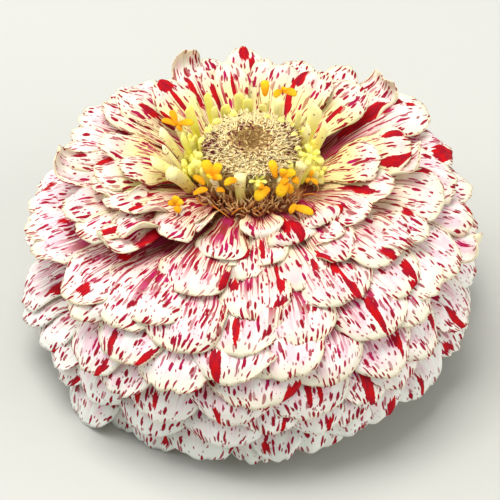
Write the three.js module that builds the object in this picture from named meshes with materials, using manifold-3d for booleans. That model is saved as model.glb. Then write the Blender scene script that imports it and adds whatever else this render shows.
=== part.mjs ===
// A picked zinnia flower head: layered ray petals round a domed disc, on a cup of bracts and a stem.
// Millimetres, +Z up. The origin is the centre of the stem's cut end, which stands on the ground
// together with the lowest petals. -Y is the flower's front, where the innermost petals lie lowest.
import * as THREE from "three";
import { mergeVertices } from "three/addons/utils/BufferGeometryUtils.js";
import Module from "manifold-3d";

// Driving dimensions of the bloom.
const BLOOM_RADIUS = 45; // widest ring of petal tips
const WIDEST_Z = 15.6; // height of that ring above the ground
const BACK_RISE = 34; // from the widest ring up to the crown of the dome, at the back
const FRONT_DROP = 12.5; // how much lower the dome is at the front, where the petals have opened further
const FOOT_DEPTH = 33.5; // from the widest ring down to where the dome, which turns in there, would close
const DOME_FULLNESS = 2.4; // 2 is an ellipse in side view, more has fuller shoulders
const BACK_FULLNESS = 2; // the same at the back
const DISC_RADIUS = 8.6;
const STEM_RADIUS = 2.7;
const FIT_GAP = 0.3; // between touching pieces
const HEART_TOP_Z = WIDEST_Z + 22; // flat top of the solid heart, which carries the disc and the florets
const FLORET_BASE_Z = HEART_TOP_Z + FIT_GAP;
const GOLDEN_ANGLE = 137.508; // degrees from one petal to the next round the axis

// The view from the front and above in which the places of the petal tips are given, in pixels.
const VIEW = { elevation: 44, distance: 450, aim: [-0.27, 0, 17.2], focal: 2316.7, centre: 250 };
const SIGHT_STEP = 0.25; // how finely a line of sight is followed

// Petal tips in that view, row by row from the foot of the dome: [across, down, petal width in mm,
// and where it differs from 0 the angle in degrees from the tip to the root round the axis].
const SEEN_TIPS = {
  foot: [[113, 437, 11], [150, 455, 12], [195, 461, 13], [252, 467, 10], [277, 463, 9], [315, 455, 12],
    [352, 440, 11]],
  hem: [[80, 428, 12], [138, 436, 14], [221, 449, 15], [270, 437, 13], [318, 437, 10], [348, 428, 11],
    [380, 424, 12], [421, 400, 11], [437, 384, 9], [462, 350, 11], [38, 345, 11]],
  fifth: [[57, 380, 11], [86, 402, 12], [152, 425, 13], [227, 429, 14.5], [309, 423, 14.5], [373, 406, 11],
    [405, 388, 11]],
  sixth: [[108, 394, 12.5], [160, 393, 13.5], [255, 412, 15], [332, 387, 13.5], [395, 378, 12.5],
    [432, 357, 11], [50, 365, 10]],
  seventh: [[80, 371, 12], [110, 361, 12.5], [225, 387, 15], [285, 382, 13.5], [392, 335, 13],
    [426, 322, 10], [468, 325, 11], [20, 318, 12]],
  eighth: [[170, 352, 13], [235, 357, 13], [300, 348, 13.5], [70, 318, 9]],
  ninth: [[133, 320, 13.5], [105, 324, 12], [255, 320, 13], [345, 304, 12], [412, 292, 12], [440, 293, 11],
    [62, 297, 10]],
  tenth: [[180, 293, 14], [305, 287, 12.5], [360, 298, 12], [461, 270, 12], [479, 262, 9], [17, 300, 11]],
  front: [[184, 222, 6], [214, 264, 11], [266, 265, 9], [240, 280, 8], [244, 240, 5], [345, 232, 11],
    [350, 257, 9], [400, 256, 12], [415, 242, 9], [430, 236, 8.5], [370, 212, 10], [28, 250, 12],
    [75, 232, 11], [100, 250, 9]],
  right: [[381, 156, 11], [395, 186, 9], [412, 142, 11], [424, 160, 9], [448, 197, 12], [460, 178, 12],
    [455, 145, 11], [473, 188, 9], [476, 222, 9], [425, 104, 11], [392, 90, 10], [362, 84, 9]],
  left: [[26, 200, 11], [24, 228, 11], [57, 150, 10], [52, 170, 9], [70, 127, 8], [85, 107, 9.5],
    [103, 100, 8], [120, 88, 9], [160, 79, 9], [93, 165, 11], [119, 163, 9], [99, 137, 9], [90, 181, 9],
    [102, 200, 9], [60, 207, 9], [128, 208, 9], [114, 232, 9]],
  back: [[184, 60, 7], [207, 56, 8], [228, 60, 6.5], [244, 45, 7], [255, 52, 6], [268, 57, 6], [287, 62, 8],
    [304, 59, 8.5, 12], [318, 71, 7], [328, 72, 6], [350, 64, 8, -36]],
};

// Petals spread over the whole dome by the golden angle, kept where no listed tip is closer than clearance.
// The last four say how far each one's azimuth, reach, height and width stray.
const FILL = {
  count: 128,
  topHeight: 0.87,
  clearance: 8.5,
  narrow: 10,
  broad: 14,
  azimuthStray: 3,
  reachStray: 1,
  heightStray: 0.8,
  widthStray: 0.9,
};

// What all ray petals share. Heights on the dome run from 1 at the crown to about -0.5 at the foot.
// How steeply a petal falls at its tip depends on where on the dome that is.
const RAYS = {
  rootRadius: 9.2,
  topRootZ: WIDEST_Z + 19,
  bottomRootZ: WIDEST_Z - 1.6,
  backRootRise: 0.8,
  topHeight: 0.95,
  bottomHeight: -0.5,
  thickness: 1.1,
  claw: 0.36,
  tipRound: 0.055,
  arch: { mean: 0.16, stray: 0.05 },
  twist: { mean: 7, stray: 3 },
  fall: { mean: 56, stray: 5, perTipAngle: 0.72, front: 14, backLift: 26, liftFrom: 0.45, liftTo: 0.85 },
};

// The domed disc with a dimple in its crown, and the scales that roughen it.
const DISC_RIM_Z = WIDEST_Z + 28.5;
const DISC_CROWN = 2.4; // height of the crown over the rim
const DIMPLE = { depth: 2.2, radius: 2.4 };
const SCALES = { count: 72, radius: 0.62, height: 2.6 };

// Open yellow florets on a collar round the disc: [azimuth in degrees, distance of the mouth from the axis].
const YELLOW = { ringRadius: 9.9, mouthZ: 44.6, tubeRadius: 1, footRadius: 0.65, mouthRadius: 2.2 };
const LOBES = { count: 5, notch: 0.4, thickness: 0.7, droop: 0.16 };
const YELLOW_MOUTHS = [[-136, 12.2], [-121, 15.6], [-104, 11.8], [-84, 14], [-66, 10.6], [-52, 14.6],
  [-36, 13.6], [64, 15.2], [82, 16], [148, 15.6], [164, 17.2]];
const YELLOW_COLLAR = { inner: DISC_RADIUS + 0.5, outer: 10.5, height: 1.8 };

// Pale quilled florets on a collar outside the yellow ones: [azimuth in degrees, distance of the tip].
const QUILLS = { root: 11.8, bendRise: 4.5, tipZ: 47.6, width: 3.4, thickness: 1 };
const QUILL_TIPS = [[-172, 16.4], [-152, 17.6], [176, 15], [133, 14.8], [115, 14.6], [100, 14.2], [46, 14],
  [28, 14.6], [12, 14.4], [-8, 14.6], [-21, 15]];
const QUILL_COLLAR = { inner: YELLOW_COLLAR.outer + FIT_GAP, outer: 12.6, height: 0.9 };

// The green cup of bracts that the heart sits in, and the stem under it.
const CUP_BASE_Z = 3.2;
const SEAT_Z = 6.6; // bottom of the heart, inside the cup
const BRACT_THICKNESS = 0.9;
const BRACT_ROWS = [
  { count: 9, root: [4.6, 4.4], bend: [9.4, 4.6], tip: [11.1, 8.4], width: 6.4 },
  { count: 12, root: [8.6, 7], bend: [12.6, 9], tip: [13.8, 12.6], width: 6.6 },
];

const PETAL_STATIONS = [0, 0.42, 0.7, 0.89, 1]; // shares of the length where a petal has points
const SHORT_STATIONS = [0, 0.6, 1]; // the same for a bract or a quilled floret
const WIDE_SIDES = 28; // facets round the heart, cup and collars
const DISC_SIDES = 24;
const STEM_SIDES = 20;

const wasm = await Module();
wasm.setup();

const { MathUtils } = THREE;
const { degToRad: radians, radToDeg: degrees, lerp, smoothstep } = MathUtils;

// A repeatable draw from 0 to 1 for a numbered piece; each channel is a separate series.
function draw(index, channel) {
  const wave = Math.sin(index * 12.9898 + channel * 78.233) * 43758.5453;
  return wave - Math.floor(wave);
}

function spread(index, channel, amount) {
  return (2 * draw(index, channel) - 1) * amount;
}

// 1 at the flower's front (-Y) and 0 at its back.
function frontness(azimuth) {
  return (1 - Math.sin(radians(azimuth))) / 2;
}

// A closed geometry as a solid that can be joined and cut.
function solid(geometry) {
  const bare = geometry.clone();
  bare.deleteAttribute("normal");
  bare.deleteAttribute("uv");
  const merged = mergeVertices(bare, 1e-4);
  return new wasm.Manifold(
    new wasm.Mesh({
      numProp: 3,
      vertProperties: merged.attributes.position.array,
      triVerts: new Uint32Array(merged.index.array),
    }),
  );
}

// All the solids joined, keeping the one outer skin: sealed hollows are filled and scraps dropped.
function joined(solids) {
  const whole = solids.reduce((all, one) => all.add(one));
  return whole.decompose().reduce((a, b) => (b.volume() > a.volume() ? b : a));
}

function piece(name, shape, look) {
  const { numProp, vertProperties, triVerts } = shape.getMesh();
  const positions = new Float32Array((vertProperties.length / numProp) * 3);
  for (let i = 0; i < positions.length / 3; i++) {
    positions.set(vertProperties.subarray(i * numProp, i * numProp + 3), i * 3);
  }
  const geometry = new THREE.BufferGeometry();
  geometry.setAttribute("position", new THREE.BufferAttribute(positions, 3));
  geometry.setIndex(new THREE.BufferAttribute(new Uint32Array(triVerts), 1));
  geometry.computeVertexNormals();
  const mesh = new THREE.Mesh(geometry, new THREE.MeshStandardMaterial(look));
  mesh.name = name;
  return mesh;
}

// A profile of [radius, height] points turned round the axis.
function turned(profile, sides) {
  const points = profile.map(([r, z]) => new THREE.Vector2(r, z));
  return solid(new THREE.LatheGeometry(points, sides).rotateX(Math.PI / 2));
}

function collar({ inner, outer, height }) {
  const top = FLORET_BASE_Z + height;
  const section = [[inner, FLORET_BASE_Z], [outer, FLORET_BASE_Z], [outer, top], [inner, top]];
  return turned([...section, section[0]], WIDE_SIDES);
}

// Half the width of a petal at a share v of its length: a narrow claw that opens to a broad round limb.
function halfWidth(petal, v) {
  const open = lerp(petal.claw, 1, smoothstep(v, 0.2, 0.72));
  const past = Math.max(0, (v - 0.78) / 0.22);
  return (petal.width / 2) * open * Math.sqrt(1 - 0.55 * past * past);
}

// The point of a petal's middle surface at side u (-1 to 1) and share v of its length, and the normal.
// root, bend and tip are [radius, height] and steer the midline, which is a quadratic curve in the upright
// plane of the petal's azimuth; offset is how far that plane lies beside the axis.
function petalPoint(petal, u, v) {
  const along = v * (1 - petal.tipRound * u * u * v);
  const rest = 1 - along;
  const mix = (k) =>
    rest * rest * petal.root[k] + 2 * rest * along * petal.bend[k] + along * along * petal.tip[k];
  const slope = (k) =>
    2 * rest * (petal.bend[k] - petal.root[k]) + 2 * along * (petal.tip[k] - petal.bend[k]);
  const outward = new THREE.Vector3(Math.cos(petal.azimuth), Math.sin(petal.azimuth), 0);
  const up = new THREE.Vector3(0, 0, 1);
  const tangent = outward.clone().multiplyScalar(slope(0)).addScaledVector(up, slope(1)).normalize();
  const side = new THREE.Vector3().crossVectors(up, outward);
  const point = outward.multiplyScalar(mix(0)).addScaledVector(up, mix(1));
  point.addScaledVector(side, petal.offset);
  side.applyAxisAngle(tangent, petal.twist * v);
  const normal = new THREE.Vector3().crossVectors(tangent, side);
  const half = halfWidth(petal, v);
  point.addScaledVector(side, u * half).addScaledVector(normal, -petal.arch * half * u * u);
  return { point, normal };
}

// A petal as a closed lens-shaped blade: both faces share the outline and part along the midrib.
// Each row has a left, middle and right point, and the last row two more that round the tip.
function blade(petal, thickness, stations) {
  const last = stations.length - 1;
  const positions = [];
  const upper = [];
  const lower = [];
  const add = (p) => positions.push(p.x, p.y, Math.max(0, p.z)) / 3 - 1;
  stations.forEach((v, row) => {
    const sides = row === last ? [-1, -0.55, 0, 0.55, 1] : [-1, 0, 1];
    for (const u of sides) {
      const { point, normal } = petalPoint(petal, u, v);
      const half = u === 0 && row > 0 && row < last ? thickness / 2 : 0;
      upper.push(add(point.clone().addScaledVector(normal, half)));
      lower.push(half ? add(point.clone().addScaledVector(normal, -half)) : upper.at(-1));
    }
  });
  const corners = [];
  for (let row = 0; row < last - 1; row++) {
    const [left, middle, right] = [3 * row, 3 * row + 1, 3 * row + 2];
    corners.push([left, left + 3, middle + 3], [left, middle + 3, middle]);
    corners.push([middle, middle + 3, right], [right, middle + 3, right + 3]);
  }
  const [left, middle, right] = [3 * last - 3, 3 * last - 2, 3 * last - 1];
  const rim = [0, 1, 2, 3, 4].map((k) => 3 * last + k);
  corners.push([left, rim[0], rim[1]], [left, rim[1], middle], [middle, rim[1], rim[2]]);
  corners.push([middle, rim[2], rim[3]], [middle, rim[3], right], [right, rim[3], rim[4]]);
  const faces = corners.flatMap(([i, j, k]) => [upper[i], upper[j], upper[k], lower[i], lower[k], lower[j]]);
  const geometry = new THREE.BufferGeometry();
  geometry.setAttribute("position", new THREE.Float32BufferAttribute(positions, 3));
  geometry.setIndex(faces);
  return solid(geometry);
}

// The bend point that makes a petal arrive at its tip falling at the given angle.
function bendFor(root, tip, fall) {
  const reach = 0.42 * Math.hypot(tip[0] - root[0], tip[1] - root[1]);
  return [tip[0] - reach * Math.cos(radians(fall)), tip[1] + reach * Math.sin(radians(fall))];
}

// How high the dome stands over the widest ring at an azimuth in degrees.
function domeRise(azimuth) {
  return BACK_RISE - FRONT_DROP * frontness(azimuth) ** 1.5;
}

// How full the dome's shoulders are there.
function domeFullness(azimuth) {
  return lerp(DOME_FULLNESS, BACK_FULLNESS, Math.max(0, Math.sin(radians(azimuth))) ** 2);
}

// The azimuth in degrees of a point, its height as a share of the dome's, and how far out of the dome it
// lies as a share of the dome's size.
function domePlace(point) {
  const azimuth = degrees(Math.atan2(point.y, point.x));
  const rise = point.z - WIDEST_Z;
  const reach = Math.hypot(point.x, point.y) / BLOOM_RADIUS;
  const height = rise / (rise > 0 ? domeRise(azimuth) : FOOT_DEPTH);
  const fullness = domeFullness(azimuth);
  const size = (reach ** fullness + Math.abs(height) ** fullness) ** (1 / fullness);
  return { azimuth, height, excess: size - 1 };
}

// The point of the dome that a pixel of the view shows, or the closest that its line of sight comes.
function domePoint(across, down) {
  const tilt = radians(VIEW.elevation);
  const line = new THREE.Vector3(0, Math.cos(tilt), -Math.sin(tilt));
  const eye = new THREE.Vector3(...VIEW.aim).addScaledVector(line, -VIEW.distance);
  const up = new THREE.Vector3(0, Math.sin(tilt), Math.cos(tilt));
  line.addScaledVector(up, (VIEW.centre - down) / VIEW.focal);
  line.x += (across - VIEW.centre) / VIEW.focal;
  line.normalize();
  let closest = eye;
  const around = 1.5 * BLOOM_RADIUS;
  for (let far = VIEW.distance - around; far < VIEW.distance + around; far += SIGHT_STEP) {
    const point = eye.clone().addScaledVector(line, far);
    const { excess } = domePlace(point);
    if (closest === eye || excess < domePlace(closest).excess) closest = point;
    if (excess < 0) break;
  }
  return closest;
}

// The ray petal whose tip is at a point; lean is the angle in degrees from the tip to the root round
// the axis.
function rayPetal(index, end, width, lean) {
  const { azimuth, height } = domePlace(end);
  const share = MathUtils.clamp((RAYS.topHeight - height) / (RAYS.topHeight - RAYS.bottomHeight), 0, 1);
  const around = radians(azimuth + lean);
  const backness = 1 - frontness(azimuth);
  const start = new THREE.Vector3(Math.cos(around), Math.sin(around), 0).multiplyScalar(RAYS.rootRadius);
  start.z = lerp(RAYS.topRootZ + RAYS.backRootRise * backness, RAYS.bottomRootZ, share);
  const direction = Math.atan2(end.y - start.y, end.x - start.x);
  const outward = new THREE.Vector3(Math.cos(direction), Math.sin(direction), 0);
  const root = [start.dot(outward), start.z];
  const tip = [end.dot(outward), Math.max(0, end.z)];
  const { fall, arch, twist } = RAYS;
  const lifted = fall.backLift * backness * smoothstep(height, fall.liftFrom, fall.liftTo);
  const tipAngle = degrees(Math.asin(MathUtils.clamp(height, -1, 1)));
  const level = fall.mean - fall.perTipAngle * tipAngle + fall.front * (0.5 - backness);
  return {
    azimuth: direction,
    offset: start.y * outward.x - start.x * outward.y,
    root,
    bend: bendFor(root, tip, level - lifted + spread(index, 4, fall.stray)),
    tip,
    width,
    claw: RAYS.claw,
    tipRound: RAYS.tipRound,
    arch: arch.mean + spread(index, 6, arch.stray),
    twist: radians(twist.mean + spread(index, 7, twist.stray)),
  };
}

// All ray petals: those whose tips are listed, then golden-angle ones wherever no listed tip is near.
function rayPlan() {
  const seen = Object.values(SEEN_TIPS).flat();
  const petals = seen.map(([across, down, width, lean = 0], index) =>
    rayPetal(index, domePoint(across, down), width, lean),
  );
  const ends = seen.map(([across, down]) => domePoint(across, down));
  for (let index = 0; index < FILL.count; index++) {
    const share = (index + 0.5) / FILL.count;
    const height = lerp(FILL.topHeight, RAYS.bottomHeight, share);
    const azimuth = index * GOLDEN_ANGLE + spread(index, 1, FILL.azimuthStray);
    const fullness = domeFullness(azimuth);
    const reach = BLOOM_RADIUS * (1 - Math.abs(height) ** fullness) ** (1 / fullness);
    const size = height > 0 ? domeRise(azimuth) : FOOT_DEPTH;
    const end = new THREE.Vector3(Math.cos(radians(azimuth)), Math.sin(radians(azimuth)), 0);
    end.multiplyScalar(reach + spread(index, 2, FILL.reachStray));
    end.setZ(WIDEST_Z + size * height + spread(index, 3, FILL.heightStray));
    if (ends.some((other) => other.distanceTo(end) < FILL.clearance)) continue;
    const width = lerp(FILL.narrow, FILL.broad, Math.sqrt(share)) + spread(index, 5, FILL.widthStray);
    petals.push(rayPetal(seen.length + index, end, width, 0));
  }
  return petals;
}

// Where the heart sits in the cup, as a profile that lies gap further out and down.
function seatProfile(gap) {
  return [[0, SEAT_Z - gap], [5 + gap / 2, SEAT_Z - gap], [9.6 + gap, 9.6 - gap / 2], [11.8 + gap, 12.5]];
}

// The dense heart of the head that all petals grow from.
function heart() {
  const belly = [[18, 16.5], [23, 21], [23.5, 26], [17.5, 32.5]];
  const top = [[QUILL_COLLAR.outer + 0.8, HEART_TOP_Z], [0, HEART_TOP_Z]];
  return turned([...seatProfile(0), ...belly, ...top], WIDE_SIDES);
}

function rayPetals() {
  const petals = rayPlan().map((petal) => blade(petal, RAYS.thickness, PETAL_STATIONS));
  return joined([heart(), ...petals]);
}

// Height of the disc's domed top at a radius.
function discTop(r) {
  const dimple = DIMPLE.depth * Math.exp(-((r / DIMPLE.radius) ** 2));
  return DISC_RIM_Z + DISC_CROWN * Math.cos((r / DISC_RADIUS) * 1.32) - dimple;
}

// The disc, its scales raised as small spikes larger than life that splay outwards.
function disc() {
  const wall = [[0, FLORET_BASE_Z], [7.8, FLORET_BASE_Z], [DISC_RADIUS, DISC_RIM_Z - 3], [7.9, DISC_RIM_Z]];
  const top = [7.4, 5.6, 3.8, 2.4, 1.2, 0].map((r) => [r, discTop(r)]);
  const body = turned([...wall, ...top], DISC_SIDES);
  const scales = Array.from({ length: SCALES.count }, (_, index) => {
    const r = (DISC_RADIUS - 0.9) * Math.sqrt((index + 0.5) / SCALES.count);
    const azimuth = radians(index * GOLDEN_ANGLE);
    const spike = new THREE.ConeGeometry(SCALES.radius, SCALES.height, 4);
    spike.rotateX(Math.PI / 2);
    spike.rotateY(radians(4 * r) * (0.4 + draw(index, 21)));
    spike.rotateZ(azimuth);
    spike.translate(r * Math.cos(azimuth), r * Math.sin(azimuth), discTop(r) + 0.55);
    return solid(spike);
  });
  return joined([body, ...scales]);
}

// The five-lobed mouth of an open floret, its lobes bent back.
function starMouth(radius) {
  const outline = new THREE.Shape();
  for (let i = 0; i < LOBES.count * 2; i++) {
    const angle = (i / LOBES.count) * Math.PI;
    const reach = radius * [1, LOBES.notch][i % 2];
    outline[i ? "lineTo" : "moveTo"](reach * Math.cos(angle), reach * Math.sin(angle));
  }
  const star = new THREE.ExtrudeGeometry(outline, { depth: LOBES.thickness, bevelEnabled: false });
  const position = star.attributes.position;
  for (let i = 0; i < position.count; i++) {
    const r = Math.hypot(position.getX(i), position.getY(i));
    position.setZ(i, position.getZ(i) - LOBES.droop * r * r);
  }
  return star;
}

// Open yellow florets: tubes that rise from the collar and lean out to their star mouths.
function yellowFlorets() {
  const florets = YELLOW_MOUTHS.map(([azimuth, mouth], index) => {
    const rise = YELLOW.mouthZ - FLORET_BASE_Z - 1 + spread(index, 32, 0.6);
    const height = Math.hypot(mouth - YELLOW.ringRadius, rise);
    const tube = new THREE.CylinderGeometry(YELLOW.tubeRadius, YELLOW.footRadius, height, 5);
    tube.rotateX(Math.PI / 2).translate(0, 0, height / 2);
    const star = starMouth(YELLOW.mouthRadius).translate(0, 0, height - 0.2);
    const place = new THREE.Matrix4()
      .makeRotationZ(radians(azimuth))
      .multiply(new THREE.Matrix4().makeTranslation(YELLOW.ringRadius, 0, FLORET_BASE_Z + 1))
      .multiply(new THREE.Matrix4().makeRotationY(Math.atan2(mouth - YELLOW.ringRadius, rise)));
    return solid(tube.applyMatrix4(place)).add(solid(star.applyMatrix4(place)));
  });
  return joined([collar(YELLOW_COLLAR), ...florets]);
}

// Quilled florets: narrow channelled straps standing up and out behind and beside the disc.
function quilledFlorets() {
  const straps = QUILL_TIPS.map(([azimuth, reach], index) => {
    const petal = {
      azimuth: radians(azimuth),
      offset: 0,
      root: [QUILLS.root, FLORET_BASE_Z + 0.3],
      bend: [QUILLS.root + 0.4 * (reach - QUILLS.root), FLORET_BASE_Z + QUILLS.bendRise],
      tip: [reach, QUILLS.tipZ + spread(index, 43, 0.8)],
      width: QUILLS.width,
      claw: 0.6,
      tipRound: 0.1,
      arch: -0.25,
      twist: 0,
    };
    return blade(petal, QUILLS.thickness, SHORT_STATIONS);
  });
  return joined([collar(QUILL_COLLAR), ...straps]);
}

// The green cup under the petals, covered by rows of round-ended bracts.
function involucre() {
  const outside = [[0, CUP_BASE_Z], [3.6, CUP_BASE_Z], [7.6, 4.9], [11.2, 8.4], [12.9, 12.3]];
  const cup = turned([...outside, ...seatProfile(FIT_GAP).reverse()], WIDE_SIDES);
  const bracts = BRACT_ROWS.flatMap(({ count, ...shape }, row) =>
    Array.from({ length: count }, (_, index) => {
      const azimuth = radians(((index + row / 2) * 360) / count);
      const bract = { ...shape, azimuth, offset: 0, claw: 0.8, tipRound: 0.2, arch: 0.16, twist: 0 };
      return blade(bract, BRACT_THICKNESS, SHORT_STATIONS);
    }),
  );
  return joined([cup, ...bracts]);
}

// The short stem, flared where it meets the cup.
function stem() {
  const top = CUP_BASE_Z - FIT_GAP;
  const side = [[STEM_RADIUS, 0], [STEM_RADIUS, top - 0.6], [STEM_RADIUS + 0.5, top]];
  return turned([[0, 0], ...side, [0, top]], STEM_SIDES);
}

const flower = new THREE.Group();
flower.add(
  piece("ray_petals", rayPetals(), { color: 0xf4e6dc, roughness: 0.75, metalness: 0 }),
  piece("disc", disc(), { color: 0xcdb88a, roughness: 0.95, metalness: 0 }),
  piece("yellow_florets", yellowFlorets(), { color: 0xf5a80f, roughness: 0.8, metalness: 0 }),
  piece("quilled_florets", quilledFlorets(), { color: 0xdfe08a, roughness: 0.75, metalness: 0 }),
  piece("involucre", involucre(), { color: 0x6f8f4a, roughness: 0.8, metalness: 0 }),
  piece("stem", stem(), { color: 0x5d7d3a, roughness: 0.75, metalness: 0 }),
);

export default flower;
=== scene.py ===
"""Dress a picked, striped zinnia head and set it on a pale studio floor.

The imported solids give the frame. Petals, disc chaff, florets, bracts and stem are modelled here at full
fineness by the same growth rule as the solids, and painted with procedural finishes.
Lengths are millimetres and angles degrees, unless a name or a docstring says otherwise.
"""

from __future__ import annotations

import logging
import math
from collections.abc import Callable, Mapping, Sequence
from dataclasses import dataclass, field, replace
from enum import Enum
from typing import Union

import bmesh
import bpy
from bmesh.types import BMesh, BMVert
from bpy.types import Material, Node, NodeSocket, Object
from mathutils import Matrix, Vector, interpolate, noise
from mathutils.bvhtree import BVHTree

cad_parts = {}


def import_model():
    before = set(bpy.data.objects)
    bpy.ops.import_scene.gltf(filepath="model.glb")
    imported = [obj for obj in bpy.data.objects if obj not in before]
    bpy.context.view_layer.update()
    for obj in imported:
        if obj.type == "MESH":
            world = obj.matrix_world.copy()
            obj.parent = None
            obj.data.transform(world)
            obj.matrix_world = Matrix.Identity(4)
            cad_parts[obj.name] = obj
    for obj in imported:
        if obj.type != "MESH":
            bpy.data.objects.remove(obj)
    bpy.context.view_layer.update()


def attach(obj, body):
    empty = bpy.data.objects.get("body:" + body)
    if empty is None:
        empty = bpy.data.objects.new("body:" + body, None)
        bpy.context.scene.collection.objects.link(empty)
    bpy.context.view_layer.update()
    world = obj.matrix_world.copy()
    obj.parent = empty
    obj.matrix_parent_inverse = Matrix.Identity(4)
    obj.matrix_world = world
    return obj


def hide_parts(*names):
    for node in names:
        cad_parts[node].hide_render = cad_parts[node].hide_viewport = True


LOG = logging.getLogger("zinnia")
MM = 0.001
BODY = "root"
GOLDEN_ANGLE = 137.508
BAND_LIMIT = 3
PATTERN_STRIDE = 29.0
FIRST_INNER = 800
FIRST_BRACT = 900
BRACT_ROW_STRIDE = 20
FURROW_SIDE = 0.34
UP = Vector((0.0, 0.0, 1.0))

Colour = str
Profile = tuple[float, float]
Pixel = tuple[float, float]
Point = tuple[float, float, float]
Value = Union[float, "Field"]
Settings = Mapping[str, object]
Inputs = Mapping[Union[str, int], object]


def tint(code: Colour) -> tuple[float, float, float, float]:
    """Turn a display colour into the linear one that a shader takes.

    Args:
        code: Six hexadecimal digits, red, green and blue.

    Returns:
        Linear red, green, blue and an alpha of 1.
    """
    shares = (int(code[i : i + 2], 16) / 255 for i in (0, 2, 4))
    red, green, blue = (s / 12.92 if s <= 0.04045 else ((s + 0.055) / 1.055) ** 2.4 for s in shares)
    return red, green, blue, 1.0


def draw(index: int, channel: int) -> float:
    """Give a repeatable number from 0 to 1 for a numbered piece; each channel is its own series."""
    wave = math.sin(index * 12.9898 + channel * 78.233) * 43758.5453
    return wave - math.floor(wave)


def spread(index: int, channel: int, amount: float) -> float:
    """Give a repeatable number from -amount to amount for a numbered piece."""
    return (2 * draw(index, channel) - 1) * amount


def blend(low: float, high: float, share: float) -> float:
    """Give the value a share of the way from low to high."""
    return low + (high - low) * share


def smooth(low: float, high: float, value: float) -> float:
    """Rise smoothly from 0 at low to 1 at high, which may be the smaller number."""
    share = min(1.0, max(0.0, (value - low) / (high - low)))
    return share * share * (3 - 2 * share)


def frontness(azimuth: float) -> float:
    """Give 1 at the flower's front (-Y) and 0 at its back."""
    return (1 - math.sin(math.radians(azimuth))) / 2


def furrows(u: float, width: float) -> float:
    """Give 1 in the two furrows that run along a petal, and next to nothing away from them."""
    return sum(math.exp(-(((u + side) / width) ** 2)) for side in (-FURROW_SIDE, FURROW_SIDE))


def radial(azimuth: float) -> tuple[Vector, Vector]:
    """Give the level directions away from the axis and across, at an azimuth."""
    angle = math.radians(azimuth)
    return Vector((math.cos(angle), math.sin(angle), 0.0)), Vector((-math.sin(angle), math.cos(angle), 0.0))


def polar(azimuth: float, reach: float, height: float) -> Vector:
    """Give the point at an azimuth, a distance from the axis and a height."""
    return radial(azimuth)[0] * reach + UP * height


def azimuth_of(point: Sequence[float]) -> float:
    """Give a point's azimuth."""
    return math.degrees(math.atan2(point[1], point[0]))


def math_node(operation: str, swapped: bool = False) -> Callable[..., Field]:
    """Make a method of Field that adds one Math node.

    Args:
        operation: The node's operation.
        swapped: Whether the terms change places, as in a reflected operator.

    Returns:
        The method.
    """

    def method(self: Field, *others: Value) -> Field:
        """Add the node and give its result."""
        terms = (*others, self) if swapped else (self, *others)
        return self.bench.field("ShaderNodeMath", {"operation": operation}, dict(enumerate(terms)))

    return method


class Field:
    """A number that varies over a surface, on which Python's operators build Math nodes."""

    __add__ = __radd__ = math_node("ADD")
    __sub__ = math_node("SUBTRACT")
    __rsub__ = math_node("SUBTRACT", swapped=True)
    __mul__ = __rmul__ = math_node("MULTIPLY")
    __truediv__ = math_node("DIVIDE")
    __pow__ = math_node("POWER")
    __abs__ = math_node("ABSOLUTE")
    at_least = math_node("MAXIMUM")
    at_most = math_node("MINIMUM")
    sine = math_node("SINE")

    def __init__(self, bench: Bench, socket: NodeSocket) -> None:
        """Wrap a socket of the bench's tree."""
        self.bench = bench
        self.socket = socket

    def rise(self, low: Value, high: Value) -> Field:
        """Rise smoothly from 0 to 1.

        Args:
            low: Where 0 ends.
            high: Where 1 starts.

        Returns:
            The risen share.
        """
        settings = {"interpolation_type": "SMOOTHSTEP", "clamp": True}
        values = {"Value": self, "From Min": low, "From Max": high, "To Min": 0.0, "To Max": 1.0}
        return self.bench.field("ShaderNodeMapRange", settings, values)

    def fall(self, low: Value, high: Value) -> Field:
        """Fall smoothly from 1 at low to 0 at high."""
        return 1 - self.rise(low, high)


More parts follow.
